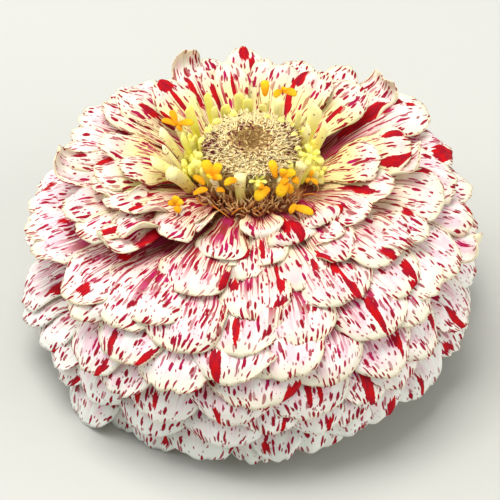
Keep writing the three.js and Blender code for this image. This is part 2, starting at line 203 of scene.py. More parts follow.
class Bench:
    """A material being mixed: its node tree and its one Principled shader."""

    def __init__(self, name: str) -> None:
        """Start a material with an empty tree, a Principled shader and an output.

        Args:
            name: The material's name.
        """
        self.material = bpy.data.materials.new(name)
        self.material.use_nodes = True
        self.tree = self.material.node_tree
        self.tree.nodes.clear()
        self.shader = self.node("ShaderNodeBsdfPrincipled")
        self.node("ShaderNodeOutputMaterial", values={"Surface": self.shader.outputs[0]})

    def node(self, kind: str, settings: Settings | None = None, values: Inputs | None = None) -> Node:
        """Add a node.

        Args:
            kind: The node's type.
            settings: Its properties, set before its inputs.
            values: Its inputs by name or number, as numbers, vectors, colours, fields or sockets.

        Returns:
            The new node.
        """
        made = self.tree.nodes.new(kind)
        for name, value in (settings or {}).items():
            setattr(made, name, value)
        for key, value in (values or {}).items():
            self.feed(made.inputs[key], value)
        return made

    def field(self, kind: str, settings: Settings | None, values: Inputs) -> Field:
        """Add a node, as node() does, and give its first output as a field."""
        return Field(self, self.node(kind, settings, values).outputs[0])

    def feed(self, target: NodeSocket, value: object) -> None:
        """Set or link one input.

        Args:
            target: The input.
            value: A field or socket to link, or a number, vector or colour to set.
        """
        source = value.socket if isinstance(value, Field) else value
        if isinstance(source, NodeSocket):
            self.tree.links.new(source, target)
        else:
            target.default_value = tint(source) if isinstance(source, str) else source

    def dress(
        self, colour: object, roughness: Value, relief: Field | None = None, depth: float = 0.0
    ) -> Material:
        """Give the shader its colour, roughness and relief.

        Args:
            colour: The colour.
            roughness: The roughness.
            relief: A height from 0 to 1, where the surface isn't smooth.
            depth: What a height of 1 measures.

        Returns:
            The material.
        """
        inputs = self.shader.inputs
        self.feed(inputs["Base Color"], colour)
        self.feed(inputs["Roughness"], roughness)
        if relief is not None:
            bump = self.node("ShaderNodeBump", values={"Height": relief, "Distance": depth * MM})
            self.feed(inputs["Normal"], bump.outputs[0])
        return self.material

    def soften(self, weight: float, radius: Point, scale: float, gloss: float) -> None:
        """Give the shader the soft depth of a plant.

        Args:
            weight: How much light goes under the surface, from 0 to 1.
            radius: How far red, green and blue go, as shares of the scale.
            scale: How far the light goes.
            gloss: The specular level.
        """
        inputs = self.shader.inputs
        inputs["Subsurface Weight"].default_value = weight
        inputs["Subsurface Radius"].default_value = radius
        inputs["Subsurface Scale"].default_value = scale * MM
        inputs["Specular IOR Level"].default_value = gloss

    def split(self, source: NodeSocket) -> list[Field]:
        """Part a vector or colour into three numbers."""
        made = self.node("ShaderNodeSeparateXYZ", values={0: source})
        return [Field(self, output) for output in made.outputs]

    def parts(self, name: str) -> list[Field]:
        """Read a stored vector as three numbers."""
        return self.split(self.node("ShaderNodeAttribute", {"attribute_name": name}).outputs["Vector"])

    def four(self, name: str) -> list[Field]:
        """Read a stored colour with alpha as four numbers."""
        source = self.node("ShaderNodeAttribute", {"attribute_name": name}).outputs
        return [*self.split(source["Color"]), Field(self, source["Alpha"])]

    def vector(self, x: Value, y: Value, z: Value = 0.0) -> NodeSocket:
        """Join three numbers to a vector."""
        return self.node("ShaderNodeCombineXYZ", values={0: x, 1: y, 2: z}).outputs[0]

    def object_place(self) -> NodeSocket:
        """Give the place in the object's own coordinates, in metres."""
        return self.node("ShaderNodeTexCoord").outputs["Object"]

    def noise(self, place: NodeSocket, scale: float, detail: float) -> Field:
        """Give soft noise from 0 to 1 at a place, with its features per unit and octaves of finer noise."""
        return self.field("ShaderNodeTexNoise", None, {"Vector": place, "Scale": scale, "Detail": detail})

    def grain(self, x: Value, y: Value, z: Value = 0.0, scale: float = 1.0, detail: float = 2.0) -> Field:
        """Give soft noise where three numbers say."""
        return self.noise(self.vector(x, y, z), scale, detail)

    def speckle(self, scale: float, detail: float = 3.0) -> Field:
        """Give soft noise all through the object, with its features per metre."""
        return self.noise(self.object_place(), scale, detail)

    def coats(self, ground: object, *coats: tuple[Value, object]) -> NodeSocket:
        """Lay colours over a ground, one after the other.

        Args:
            ground: The first colour.
            coats: How much of each further colour shows, and that colour.

        Returns:
            The mixed colour.
        """
        for share, colour in coats:
            values = {0: share, 6: ground, 7: colour}
            ground = self.node("ShaderNodeMix", {"data_type": "RGBA"}, values).outputs[2]
        return ground


def blanks(mesh: BMesh, across: int, along: int, count: int) -> list[list[BMVert]]:
    """Lay flat grids from -1 to 1, to be shaped one by one; doubling them is quicker than making each.

    Args:
        mesh: The mesh that they join.
        across: Faces across each.
        along: Faces along each.
        count: How many.

    Returns:
        The vertices of each grid.
    """
    verts = bmesh.ops.create_grid(mesh, x_segments=across, y_segments=along, size=1.0)["verts"]
    size = len(verts)
    while len(verts) < count * size:
        copied = verts[: count * size - len(verts)]
        faces = list({face for vert in copied for face in vert.link_faces})
        made = bmesh.ops.duplicate(mesh, geom=copied + faces)["geom"]
        verts += [item for item in made if isinstance(item, BMVert)]
    return [verts[k * size : (k + 1) * size] for k in range(count)]


def to_object(name: str, mesh: BMesh, *materials: Material) -> Object:
    """Turn a bmesh into a smooth-shaded object of the scene.

    Args:
        name: The object's name.
        mesh: The bmesh, which is freed.
        materials: Its materials, in slot order.

    Returns:
        The object.
    """
    data = bpy.data.meshes.new(name)
    mesh.to_mesh(data)
    mesh.free()
    for material in materials:
        data.materials.append(material)
    data.polygons.foreach_set("use_smooth", [True] * len(data.polygons))
    made = bpy.data.objects.new(name, data)
    bpy.context.scene.collection.objects.link(made)
    return made


def turned(name: str, profile: Sequence[Profile], sides: int, material: Material) -> Object:
    """Turn a profile round the axis into a closed piece.

    Args:
        name: The piece's name.
        profile: Radius and height of its points, from the axis back to the axis.
        sides: Facets round it.
        material: Its finish.

    Returns:
        The piece.
    """
    mesh = bmesh.new()
    verts = [mesh.verts.new((reach * MM, 0.0, height * MM)) for reach, height in profile]
    edges = [mesh.edges.new(pair) for pair in zip(verts, verts[1:])]
    turn = {"axis": (0, 0, 1), "cent": (0, 0, 0), "angle": 2 * math.pi, "steps": sides, "use_merge": True}
    bmesh.ops.spin(mesh, geom=verts + edges, **turn)
    bmesh.ops.remove_doubles(mesh, verts=mesh.verts[:], dist=1e-6)
    bmesh.ops.recalc_face_normals(mesh, faces=mesh.faces[:])
    return to_object(name, mesh, material)


def settle(piece: Object, slot: str, *nodes: str) -> None:
    """Fix a piece to the flower.

    Args:
        piece: The piece.
        slot: Not used.
        nodes: The solids that it stands for.
    """
    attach(piece, BODY)
    if nodes:
        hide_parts(*nodes)
    LOG.info("%s: %d faces", piece.name, len(piece.data.polygons))


class Roll(Enum):
    """Which margins of a petal are rolled in over its upper side."""

    NONE = "none"
    LEFT = "left"
    BOTH = "both"


class Style(Enum):
    """How a petal is held."""

    OPEN = "open"
    ROLLED = "rolled"
    CUPPED = "cupped"
    CURLED = "curled"
    RAGGED = "ragged"


@dataclass(frozen=True)
class Habit:
    """How one petal departs from the plain blade of the solids."""

    wave: float = 0.0
    wave_turns: float = 1.5
    wave_start: float = 0.0
    pleat: float = 0.0
    notch: float = 0.0
    dent: float = 0.0
    recurve: float = 0.0
    roll: Roll = Roll.NONE
    roll_from: float = 0.35
    roll_radius: float = 1.8
    curl_from: float = 1.0
    curl_radius: float = 1.6
    ruffle: float = 0.0
    peak: float = 0.0


STYLE_HABITS: dict[Style, dict[str, object]] = {
    Style.OPEN: {},
    Style.ROLLED: {"roll": Roll.BOTH, "roll_from": 0.3, "roll_radius": 1.7, "wave": 0.15},
    Style.CUPPED: {"notch": 0.0, "wave": 0.3, "recurve": 0.3, "pleat": 0.1},
    Style.CURLED: {"roll": Roll.LEFT, "curl_from": 0.82, "curl_radius": 2.2},
    Style.RAGGED: {"notch": 0.03, "wave": 0.8},
}


@dataclass(frozen=True)
class Band:
    """A wide red band along a petal's veins: its side place, half width, and where it starts and ends."""

    side: float
    half_width: float
    start: float
    end: float


@dataclass(frozen=True)
class Marking:
    """What the striped finish reads for one petal, each from 0 to 1."""

    flecks: float = 0.5
    streaks: float = 0.4
    blush: float = 0.4
    lime: float = 0.0


@dataclass(frozen=True)
class Blade:
    """One petal or bract: the rule that the solids follow, with its own habit and marking.

    On its surface u runs from -1 to 1 across and v from 0 at the root to 1 at the tip.
    """

    number: int
    azimuth: float
    root: Profile
    bend: Profile
    tip: Profile
    width: float
    claw: float
    tip_round: float
    arch: float
    twist: float
    offset: float = 0.0
    share: float = 0.0
    habit: Habit = field(default_factory=Habit)
    marking: Marking = field(default_factory=Marking)

    @property
    def length(self) -> float:
        """Give the rough length of the midline."""
        return 1.06 * math.dist(self.root, self.tip)

    def half_width(self, v: float) -> float:
        """Give half the width: a narrow claw that opens to a round limb.

        Args:
            v: Share of the length.

        Returns:
            The half width.
        """
        opened = blend(self.claw, 1.0, smooth(0.2, 0.72, v))
        past = max(0.0, (v - 0.78) / 0.22)
        return self.width / 2 * opened * math.sqrt(1 - 0.45 * past * past)

    def _frame(self, along: float, v: float) -> tuple[Vector, Vector, Vector, Vector]:
        """Give the midline's point, tangent, side and normal.

        Args:
            along: Where on the midline, from 0 to 1.
            v: How far the twist has run, from 0 to 1.

        Returns:
            Four vectors, the last three of length 1.
        """
        rest = 1 - along
        spans = list(zip(self.root, self.bend, self.tip))
        reach, height = (rest * rest * a + 2 * rest * along * b + along * along * c for a, b, c in spans)
        run, climb = (2 * rest * (b - a) + 2 * along * (c - b) for a, b, c in spans)
        outward, side = radial(self.azimuth)
        tangent = Vector((outward.x * run, outward.y * run, climb)).normalized()
        point = Vector((outward.x * reach, outward.y * reach, height)) + side * self.offset
        side.rotate(Matrix.Rotation(math.radians(self.twist) * v, 3, tangent))
        return point, tangent, side, tangent.cross(side)

    def _lift(self, u: float, v: float, half: float) -> float:
        """Give how far the surface stands over the flat blade.

        Args:
            u: Side place.
            v: Share of the length.
            half: Half the width there.

        Returns:
            The lift along the normal.
        """
        habit = self.habit
        limb = smooth(0.35, 0.75, v)
        turn = habit.wave_turns * 2 * math.pi * v + habit.wave_start + (1.9 if u > 0 else 0.0)
        spot = Vector((u * half / 4.2, v * self.length / 5.5, self.number * 3.7))
        lift = -self.arch * half * u * u
        lift -= habit.pleat * limb * furrows(u, 0.13)
        lift += habit.wave * limb * abs(u) ** 2.2 * math.sin(turn)
        lift -= habit.recurve * smooth(0.72, 1.05, v) ** 2 * self.width / 2
        return lift + habit.dent * limb * noise.noise(spot)

    def _lateral(self, u: float, v: float, half: float) -> tuple[float, float]:
        """Roll the margins in, towards the tip.

        Args:
            u: Side place.
            v: Share of the length.
            half: Half the width there.

        Returns:
            How far the point lies to the side, and how far the roll lifts it.
        """
        habit = self.habit
        rolled = habit.roll is Roll.BOTH or (habit.roll is Roll.LEFT and u < 0)
        start = blend(1.0, habit.roll_from, smooth(0.35, 0.8, v))
        excess = (abs(u) - start) * half
        if not rolled or excess <= 0:
            return u * half, 0.0
        turn = excess / habit.roll_radius
        reach = start * half + habit.roll_radius * math.sin(turn)
        return math.copysign(reach, u), habit.roll_radius * (1 - math.cos(turn))

    def point(self, u: float, v: float) -> Vector:
        """Give a point of the upper surface.

        Args:
            u: Side place.
            v: Share of the length.

        Returns:
            The point.
        """
        habit = self.habit
        end = smooth(0.8, 1.0, v)
        frayed = habit.ruffle * (noise.noise(Vector((u * 2.6, self.number, 0))) + 0.3)
        along = v * (1 - self.tip_round * u * u * v) - habit.notch * furrows(u, 0.1) * smooth(0.86, 1.0, v)
        along -= (habit.peak * abs(u) ** 1.5 + frayed) * end
        middle, tangent, side, normal = self._frame(min(along, habit.curl_from), v)
        hem = noise.noise(Vector((v * 5.5, math.copysign(7.0, u), self.number * 1.3)))
        half = self.half_width(v) * (1 + habit.ruffle * 2.2 * hem) * (1 - 0.25 * habit.peak / 0.1 * end)
        lateral, lift = self._lateral(u, v, half)
        lift += self._lift(u, v, half)
        excess = (along - habit.curl_from) * self.length
        if excess > 0:
            turn = excess / habit.curl_radius
            middle = middle + tangent * habit.curl_radius * math.sin(turn)
            middle = middle + normal * habit.curl_radius * (1 - math.cos(turn))
            normal = normal * math.cos(turn) - tangent * math.sin(turn)
        made = middle + side * lateral + normal * lift
        made.z = max(0.02, made.z)
        return made


class Growth:
    """A bmesh that blades grow into, with what their finish reads stored on the vertices."""

    def __init__(self) -> None:
        """Start an empty mesh with its layers."""
        self.mesh = bmesh.new()
        layers = self.mesh.verts.layers
        self.place = layers.float_vector.new("petal_place")
        self.shape = layers.float_vector.new("petal_shape")
        self.marks = layers.float_color.new("petal_marks")
        self.bands = [layers.float_color.new(f"petal_band_{n}") for n in range(BAND_LIMIT)]
        self.number = layers.int.new("petal_number")
        self.flesh = layers.deform.verify()

    def add_blades(self, blades: Sequence[Blade], columns: int, rows: int, hidden: float) -> None:
        """Grow blades.

        Args:
            blades: The blades.
            columns: Faces across each.
            rows: Faces along each.
            hidden: The share of their length that is left out at the root, less on those next to the disc.
        """
        for blade, made in zip(blades, blanks(self.mesh, columns, rows, len(blades))):
            marking = blade.marking
            offset = blade.number * PATTERN_STRIDE
            start = hidden * smooth(0.1, 0.5, blade.share)
            for vert in made:
                u, v = vert.co.x, blend(start, 1.0, (vert.co.y + 1) / 2)
                vert.co = blade.point(u, v) * MM
                vert[self.place] = Vector((u * blade.width / 2 + offset, v * blade.length, blade.number))
                vert[self.shape] = Vector((u, v, blade.share))
                vert[self.marks] = (marking.flecks, marking.streaks, marking.blush, marking.lime)
                vert[self.number] = blade.number
                margin = max(abs(u), smooth(0.8, 1.0, v))
                vert[self.flesh][0] = 1 - 0.75 * margin**3
        bmesh.ops.reverse_faces(self.mesh, faces=self.mesh.faces[:])

    def paint_bands(self, bands: Mapping[int, Sequence[Band]]) -> None:
        """Store each petal's red bands on its vertices.

        Args:
            bands: The bands of each petal, by its number.
        """
        for vert in self.mesh.verts:
            for layer, band in zip(self.bands, bands.get(vert[self.number], ())):
                vert[layer] = (band.side, band.half_width, band.start, band.end)

    def sheet(self, name: str, thickness: float, upper: Material, under: Material) -> Object:
        """Finish the blades as a thin fleshy piece.

        Args:
            name: The piece's name.
            thickness: Its thickness along the middle.
            upper: The finish of the upper side and the margins.
            under: The finish of the underside.

        Returns:
            The piece.
        """
        piece = to_object(name, self.mesh, upper, under)
        piece.vertex_groups.new(name="flesh")
        solid = piece.modifiers.new("thickness", "SOLIDIFY")
        solid.thickness = thickness * MM
        solid.offset = -1.0
        solid.vertex_group = "flesh"
        solid.thickness_vertex_group = 0.2
        solid.material_offset = 1
        solid.material_offset_rim = 0
        return piece


class PetalReading:
    """What the striped finish reads at a point of a petal, and the noises that its marks share."""

    def __init__(self, bench: Bench) -> None:
        """Read the stored values.

        Args:
            bench: The material being mixed.
        """
        self.bench = bench
        self.x, self.y, self.number = bench.parts("petal_place")
        self.u, self.v, self.share = bench.parts("petal_shape")
        self.flecks, self.streaks, self.blush, self.lime = bench.four("petal_marks")
        self.sway = bench.grain(self.x, self.y, scale=0.22) - 0.5
        self.ragged = bench.grain(self.x * 5.0, self.y * 1.6) - 0.5
        self.veins = bench.grain(self.u * 34, self.y * 0.12, self.number)
        self.centre = abs(self.u).fall(0.45, 1.0) * self.v.fall(0.8, 1.0)


@dataclass(frozen=True)
class FleckLayer:
    """Marks of one kind: the shift and the spacing of their pattern, and a mark's largest share of it."""

    shift: float
    across: float
    along: float
    size: float


SPECKS = FleckLayer(0, 0.85, 1.7, 0.28)
DASHES = FleckLayer(71, 1.05, 3.9, 0.37)
STROKES = FleckLayer(37, 1.05, 6.4, 0.35)
LINES = FleckLayer(143, 0.72, 10.0, 0.25)
BLOTS = FleckLayer(211, 2.5, 6.6, 0.19)


@dataclass(frozen=True)
class PetalFinish:
    """Cream white petals, flecked, streaked and banded with crimson along their veins, with painted shade
    laid on the lower petals and towards each petal's covered root.
    """

    white: Colour = "faf6f4"
    cream: Colour = "f4ebc4"
    edge: Colour = "e3cf9a"
    # painted shade: a cool green-grey tint for the lower petals, which face away from the light
    painted_low_shade: Colour = "e8f0e6"
    lime: Colour = "f2e89a"
    blush: Colour = "ec86b4"
    # painted shade: a warm dark red-brown at each petal's root, for the deep crevices between the petals
    painted_crevice_shade: Colour = "a44a38"
    # painted shade: a tan darkening towards each petal's root, where the petal above overlaps it
    painted_overlap_shade: Colour = "dc9a84"
    pink: Colour = "b40e58"
    crimson: Colour = "9a0422"
    scarlet: Colour = "c4040e"

    def paint(self) -> Material:
        """Mix the finish.

        Returns:
            The material.
        """
        bench = Bench("striped_petal")
        at = PetalReading(bench)
        colour = self._marked(at, self._ground(at))
        grooves = bench.grain(at.u * 22, at.y * 0.1, at.number, detail=2.5)
        relief = grooves + bench.grain(at.x * 1.5, at.y * 1.5, detail=3.0) * 0.5
        bench.soften(0.08, (1.0, 0.6, 0.45), 0.4, 0.14)
        return bench.dress(colour, 0.6 + at.veins * 0.15, relief, 0.14)

    def _ground(self, at: PetalReading) -> NodeSocket:
        """Mix the petal's colour, which its marks lie on, with painted shade: a cool tint on the lower
        petals and a darkening towards each root, where the petals above cover it.

        Args:
            at: What the finish reads.

        Returns:
            The colour.
        """
        u, v, share, bench = at.u, at.v, at.share, at.bench
        unlimed = 1 - at.lime
        stain = (bench.grain(at.x, at.y * 0.3, scale=0.5, detail=3.0) - 0.4).at_least(0.0) * 3.4
        margin = abs(u).rise(0.6, 1.0).at_least(v.rise(0.84, 1.0))
        rim = abs(u).rise(0.93, 1.0).at_least(v.rise(0.975, 1.0))
        return bench.coats(
            self.white,
            (share.fall(0.05, 0.5) * 0.3, self.cream),
            (margin * share.fall(0.45, 0.85) * 0.65, self.cream),
            # painted shade: the lower petals take a cool green-grey tint
            (share.rise(0.55, 0.95) * 0.75, self.painted_low_shade),
            (rim * share.fall(0.5, 1.0) * 0.4, self.edge),
            (at.veins.rise(0.45, 0.75) * 0.14, self.cream),
            ((stain * at.centre * at.blush).at_most(0.38), self.blush),
            # painted shade under the overlapping petals, stronger on those near the disc
            (v.fall(0.4, 0.85) * unlimed * (0.25 + 0.25 * share.fall(0.2, 0.6)), self.painted_overlap_shade),
            # painted shade: warm dark crevice colour towards the root
            (v.fall(0.22, 0.55) * unlimed * 0.9, self.painted_crevice_shade),
            ((v.fall(0.45, 0.95) * at.lime * 1.1).at_most(0.85), self.lime),
        )

    def _marked(self, at: PetalReading, ground: NodeSocket) -> NodeSocket:
        """Lay specks, dashes, strokes, blots and bands over the ground.

        Args:
            at: What the finish reads.
            ground: The petal's colour with its painted shade.

        Returns:
            The colour.
        """
        u, v, bench, flecks, streaks = at.u, at.v, at.bench, at.flecks, at.streaks
        density = bench.grain(at.x, at.y * 0.5, scale=0.32).rise(0.3, 0.62)
        specks = self._flecks(at, SPECKS, 0.08 + 0.42 * flecks * density)
        dashes = self._flecks(at, DASHES, 0.32 + 0.8 * flecks * density)
        strokes = self._flecks(at, STROKES, 0.18 + 0.75 * streaks * density)
        lines = self._flecks(at, LINES, (0.2 + 0.75 * streaks) * v.fall(0.55, 0.85) * (1 - 0.5 * at.lime))
        blots = self._flecks(at, BLOTS, 0.08 + 0.3 * flecks)
        sector = bench.grain(u * 2.2, at.number * 3.1, detail=1.0) - 0.5
        ray = bench.grain(u * 19.0 + at.sway * 2.0, at.y * 0.035, at.number * 1.7, detail=1.5)
        bar = 0.45 + v * 0.25 - sector * 0.55 - streaks * 0.08 + at.lime * 0.12
        rays = ray.rise(bar, bar + 0.03) * v.fall(0.6, 0.92)
        pinkness = bench.grain(at.x, at.y, scale=0.3).rise(0.4, 0.58) * at.centre
        small = bench.coats(self.crimson, (pinkness, self.pink))
        long = bench.coats(self.crimson, (at.sway.rise(-0.1, 0.1), small))
        depth = bench.grain(at.x * 0.8, at.y * 0.3).rise(0.35, 0.65)
        return bench.coats(
            ground,
            (specks * 0.9, small),
            (lines.at_least(rays * 0.95).at_least(strokes), small),
            (dashes, long),
            (blots, self.crimson),
            (self._bands(at), bench.coats(self.crimson, (depth, self.scarlet))),
        )

    @staticmethod
    def _flecks(at: PetalReading, layer: FleckLayer, chance: Value) -> Field:
        """Scatter long flecks along the veins, one in each cell of a plane.

        Args:
            at: What the finish reads.
            layer: The marks' shift, spacing and size.
            chance: The share of places that hold a fleck.

        Returns:
            1 inside a strong fleck, less inside a weak one and 0 outside.
        """
        bench = at.bench
        side = at.x + at.sway * 1.2 + layer.shift
        place = bench.vector(side / layer.across, at.y / layer.along)
        settings = {"voronoi_dimensions": "2D", "feature": "F1"}
        cells = bench.node("ShaderNodeTexVoronoi", settings, {"Vector": place, "Scale": 1.0})
        present, breadth, strength = bench.split(cells.outputs["Color"])
        radius = (0.3 + 0.7 * breadth) * layer.size * present.fall(chance - 0.02, chance)
        inside = (radius - Field(bench, cells.outputs["Distance"]) - at.ragged * 0.1).rise(-0.03, 0.04)
        return inside * radius.rise(0.02, 0.04) * (0.6 + 0.4 * strength.rise(0.05, 0.4))

    @staticmethod
    def _bands(at: PetalReading) -> Field:
        """Draw the petal's own wide bands, with roughened edges and fingered ends.

        Args:
            at: What the finish reads.

        Returns:
            1 inside a band and 0 outside.
        """
        bench = at.bench
        fingers = bench.grain(at.u * 15, at.number * 2.3) - 0.5
        u = at.u + at.sway * 0.1 + at.ragged * 0.06
        v = at.v + fingers * 0.16
        shown: list[Field] = []
        for number in range(BAND_LIMIT):
            side, half, start, end = bench.four(f"petal_band_{number}")
            along = (v - (start + end) * 0.5) / ((end - start) * 0.5).at_least(0.001)
            flare = (side * 47.0).sine() * 0.35 - 0.1
            across = abs(u - side) / (half * (1.0 + flare * along)).at_least(0.001)
            inside = (across * across + abs(along) ** 4).fall(0.85, 1.0) * half.rise(0.005, 0.01)
            shown.append(inside.at_least(shown[-1]) if shown else inside)
        return shown[-1]


@dataclass(frozen=True)
class UndersideFinish:
    """The dull, greenish cream back of a petal, with darker veins."""

    cream: Colour = "f6ecca"
    green: Colour = "cfcd9a"
    pink: Colour = "cf6f86"

    def paint(self) -> Material:
        """Mix the finish.

        Returns:
            The material.
        """
        bench = Bench("petal_underside")
        x, y, number = bench.parts("petal_place")
        u, v, _ = bench.parts("petal_shape")
        veins = bench.grain(u * 16, y * 0.15, number)
        stain = bench.grain(x * 0.8, y * 0.2).rise(0.56, 0.66) * 0.6
        greened = v.fall(0.4, 0.9).at_least(veins.rise(0.5, 0.62) * 0.7)
        colour = bench.coats(self.cream, (greened, self.green), (stain, self.pink))
        return bench.dress(colour, 0.7, veins, 0.2)


@dataclass(frozen=True)
class View:
    """The photograph's view: a long lens that looks down on the flower from its front."""

    elevation: float = 44.0
    distance: float = 450.0
    aim: Point = (-0.27, 0.0, 17.2)
    focal_pixels: float = 2316.7
    frame_pixels: float = 500.0
    sensor: float = 36.0

    @property
    def eye(self) -> Point:
        """Give the camera's place.

        Returns:
            The place.
        """
        angle = math.radians(self.elevation)
        back, up = self.distance * math.cos(angle), self.distance * math.sin(angle)
        return self.aim[0], self.aim[1] - back, self.aim[2] + up

    def ray(self, pixel: Pixel) -> Point:
        """Give the direction in which the camera sees a pixel.

        Args:
            pixel: Its place across and down the photograph.

        Returns:
            A direction of length 1.
        """
        across = (pixel[0] - self.frame_pixels / 2) / self.focal_pixels
        up = (self.frame_pixels / 2 - pixel[1]) / self.focal_pixels
        angle = math.radians(self.elevation)
        ahead = math.cos(angle) + up * math.sin(angle)
        rise = up * math.cos(angle) - math.sin(angle)
        size = math.hypot(across, ahead, rise)
        return across / size, ahead / size, rise / size

    def at_height(self, across: float, down: float, height: float) -> Vector:
        """Give the point at a height that the camera sees at a pixel."""
        ray = Vector(self.ray((across, down)))
        return Vector(self.eye) + ray * ((height - self.eye[2]) / ray.z)

    def build(self) -> None:
        """Make the scene's camera."""
        data = bpy.data.cameras.new("view")
        data.sensor_width = self.sensor
        data.lens = self.focal_pixels / self.frame_pixels * self.sensor
        data.clip_start, data.clip_end = 0.01, 20.0
        camera = bpy.data.objects.new("view", data)
        camera.location = Vector(self.eye) * MM
        camera.rotation_euler = (math.radians(90 - self.elevation), 0.0, 0.0)
        bpy.context.scene.collection.objects.link(camera)
        bpy.context.scene.camera = camera


@dataclass(frozen=True)
class Dome:
    """The lopsided dome that the petal tips lie on; it is lower at the front."""

    radius: float = 45.0
    widest_z: float = 15.6
    back_rise: float = 34.0
    front_drop: float = 12.5
    foot_depth: float = 33.5
    front_fullness: float = 2.4
    back_fullness: float = 2.0
    sight_step: float = 0.25
    sight_margin: float = 1.5

    def rise(self, azimuth: float) -> float:
        """Give how high the dome stands over the widest ring."""
        return self.back_rise - self.front_drop * frontness(azimuth) ** 1.5

    def fullness(self, azimuth: float) -> float:
        """Give how full the dome's shoulders are."""
        back = max(0.0, math.sin(math.radians(azimuth))) ** 2
        return blend(self.front_fullness, self.back_fullness, back)

    def place(self, point: Sequence[float]) -> tuple[float, float, float]:
        """Say where a point is.

        Args:
            point: The point.

        Returns:
            Its azimuth, its height as a share of the dome's, and how far outside it lies as a share.
        """
        azimuth = azimuth_of(point)
        rise = point[2] - self.widest_z
        reach = math.hypot(point[0], point[1]) / self.radius
        height = rise / (self.rise(azimuth) if rise > 0 else self.foot_depth)
        power = self.fullness(azimuth)
        return azimuth, height, (reach**power + abs(height) ** power) ** (1 / power) - 1

    def seen_at(self, view: View, pixel: Pixel) -> Point:
        """Find the point of the dome that the view shows at a pixel.

        Args:
            view: The view.
            pixel: The pixel.

        Returns:
            The point, or the closest to the dome that the line of sight comes.
        """
        eye, ray = view.eye, view.ray(pixel)
        closest, best = eye, math.inf
        margin = self.sight_margin * self.radius
        far = view.distance - margin
        while far < view.distance + margin:
            point = tuple(e + r * far for e, r in zip(eye, ray))
            excess = self.place(point)[2]
            if excess < best:
                closest, best = point, excess
            if excess < 0:
                break
            far += self.sight_step
        return closest


@dataclass(frozen=True)
class Tip:
    """Where the view shows a petal's tip, the petal's width, how far its root is turned, and its style."""

    across: float
    down: float
    width: float
    lean: float = 0.0
    style: Style = Style.OPEN


SEEN_TIPS = tuple(
    Tip(*plan)
    for plan in (
        # Foot
        (113, 437, 11), (150, 455, 12), (195, 461, 13), (252, 467, 10, 0, Style.RAGGED), (277, 463, 9),
        (315, 455, 12), (352, 440, 11),
        # Hem
        (80, 428, 12), (138, 436, 14), (221, 449, 15), (270, 437, 13), (318, 437, 10), (348, 428, 11),
        (380, 424, 12), (421, 400, 11), (437, 384, 9), (462, 350, 11), (38, 345, 11),
        # Front rows, from the hem up
        (57, 380, 11), (86, 402, 12), (152, 425, 13), (227, 429, 14.5), (309, 423, 14.5), (373, 406, 11),
        (405, 388, 11),
        (108, 394, 12.5), (160, 393, 13.5), (255, 412, 15), (332, 387, 13.5), (395, 378, 12.5),
        (432, 357, 11), (50, 365, 10),
        (80, 371, 12), (110, 361, 12.5), (225, 387, 15), (285, 382, 13.5), (392, 335, 13), (426, 322, 10),
        (468, 325, 11), (20, 318, 12),
        (170, 352, 13), (235, 357, 13), (300, 348, 13.5), (70, 318, 10),
        (133, 320, 13.5), (105, 324, 12), (255, 320, 13), (345, 304, 12), (412, 292, 12), (440, 293, 11),
        (62, 297, 12),
        (180, 293, 14), (305, 287, 12.5), (360, 298, 12), (461, 270, 12), (479, 262, 9, 0, Style.CURLED),
        (17, 300, 11),
        (184, 222, 6, 0, Style.CUPPED), (214, 264, 11), (266, 265, 9), (240, 280, 8),
        (244, 240, 5, 0, Style.CURLED), (345, 232, 11), (350, 257, 9), (400, 256, 12), (415, 242, 9),
        (430, 236, 8.5), (370, 212, 10), (28, 250, 12), (75, 232, 11), (100, 250, 9, 0, Style.CURLED),
        # Right of the disc
        (381, 156, 11), (395, 186, 9), (412, 142, 11), (424, 160, 9, 0, Style.CURLED), (448, 197, 12),
        (460, 178, 12), (455, 145, 11), (473, 188, 9), (476, 222, 9), (425, 104, 11),
        (392, 90, 10, 0, Style.CURLED), (362, 84, 9),
        # Left of the disc
        (26, 200, 11), (24, 228, 11), (57, 150, 10), (52, 170, 9, 0, Style.CURLED), (70, 127, 8),
        (85, 107, 9.5), (103, 100, 8), (120, 88, 9), (160, 79, 9), (93, 165, 11), (119, 163, 9),
        (99, 137, 9), (90, 181, 9), (102, 200, 9), (60, 207, 9), (128, 208, 9.5, 0, Style.ROLLED),
        (114, 232, 10, 0, Style.ROLLED),
        # Behind the disc
        (184, 60, 7, 0, Style.CURLED), (207, 56, 8), (228, 60, 6.5), (244, 45, 7), (255, 52, 6),
        (268, 57, 6), (287, 62, 8), (304, 59, 8.5, 12), (318, 71, 7), (328, 72, 6), (350, 64, 8, -36),
    )
)
INNER_TIPS = (
    Tip(160, 238, 9), Tip(187, 232, 7, 0, Style.CUPPED), Tip(215, 262, 10.5),
    Tip(263, 240, 8, 0, Style.CUPPED), Tip(298, 246, 10), Tip(328, 226, 9, 10),
)


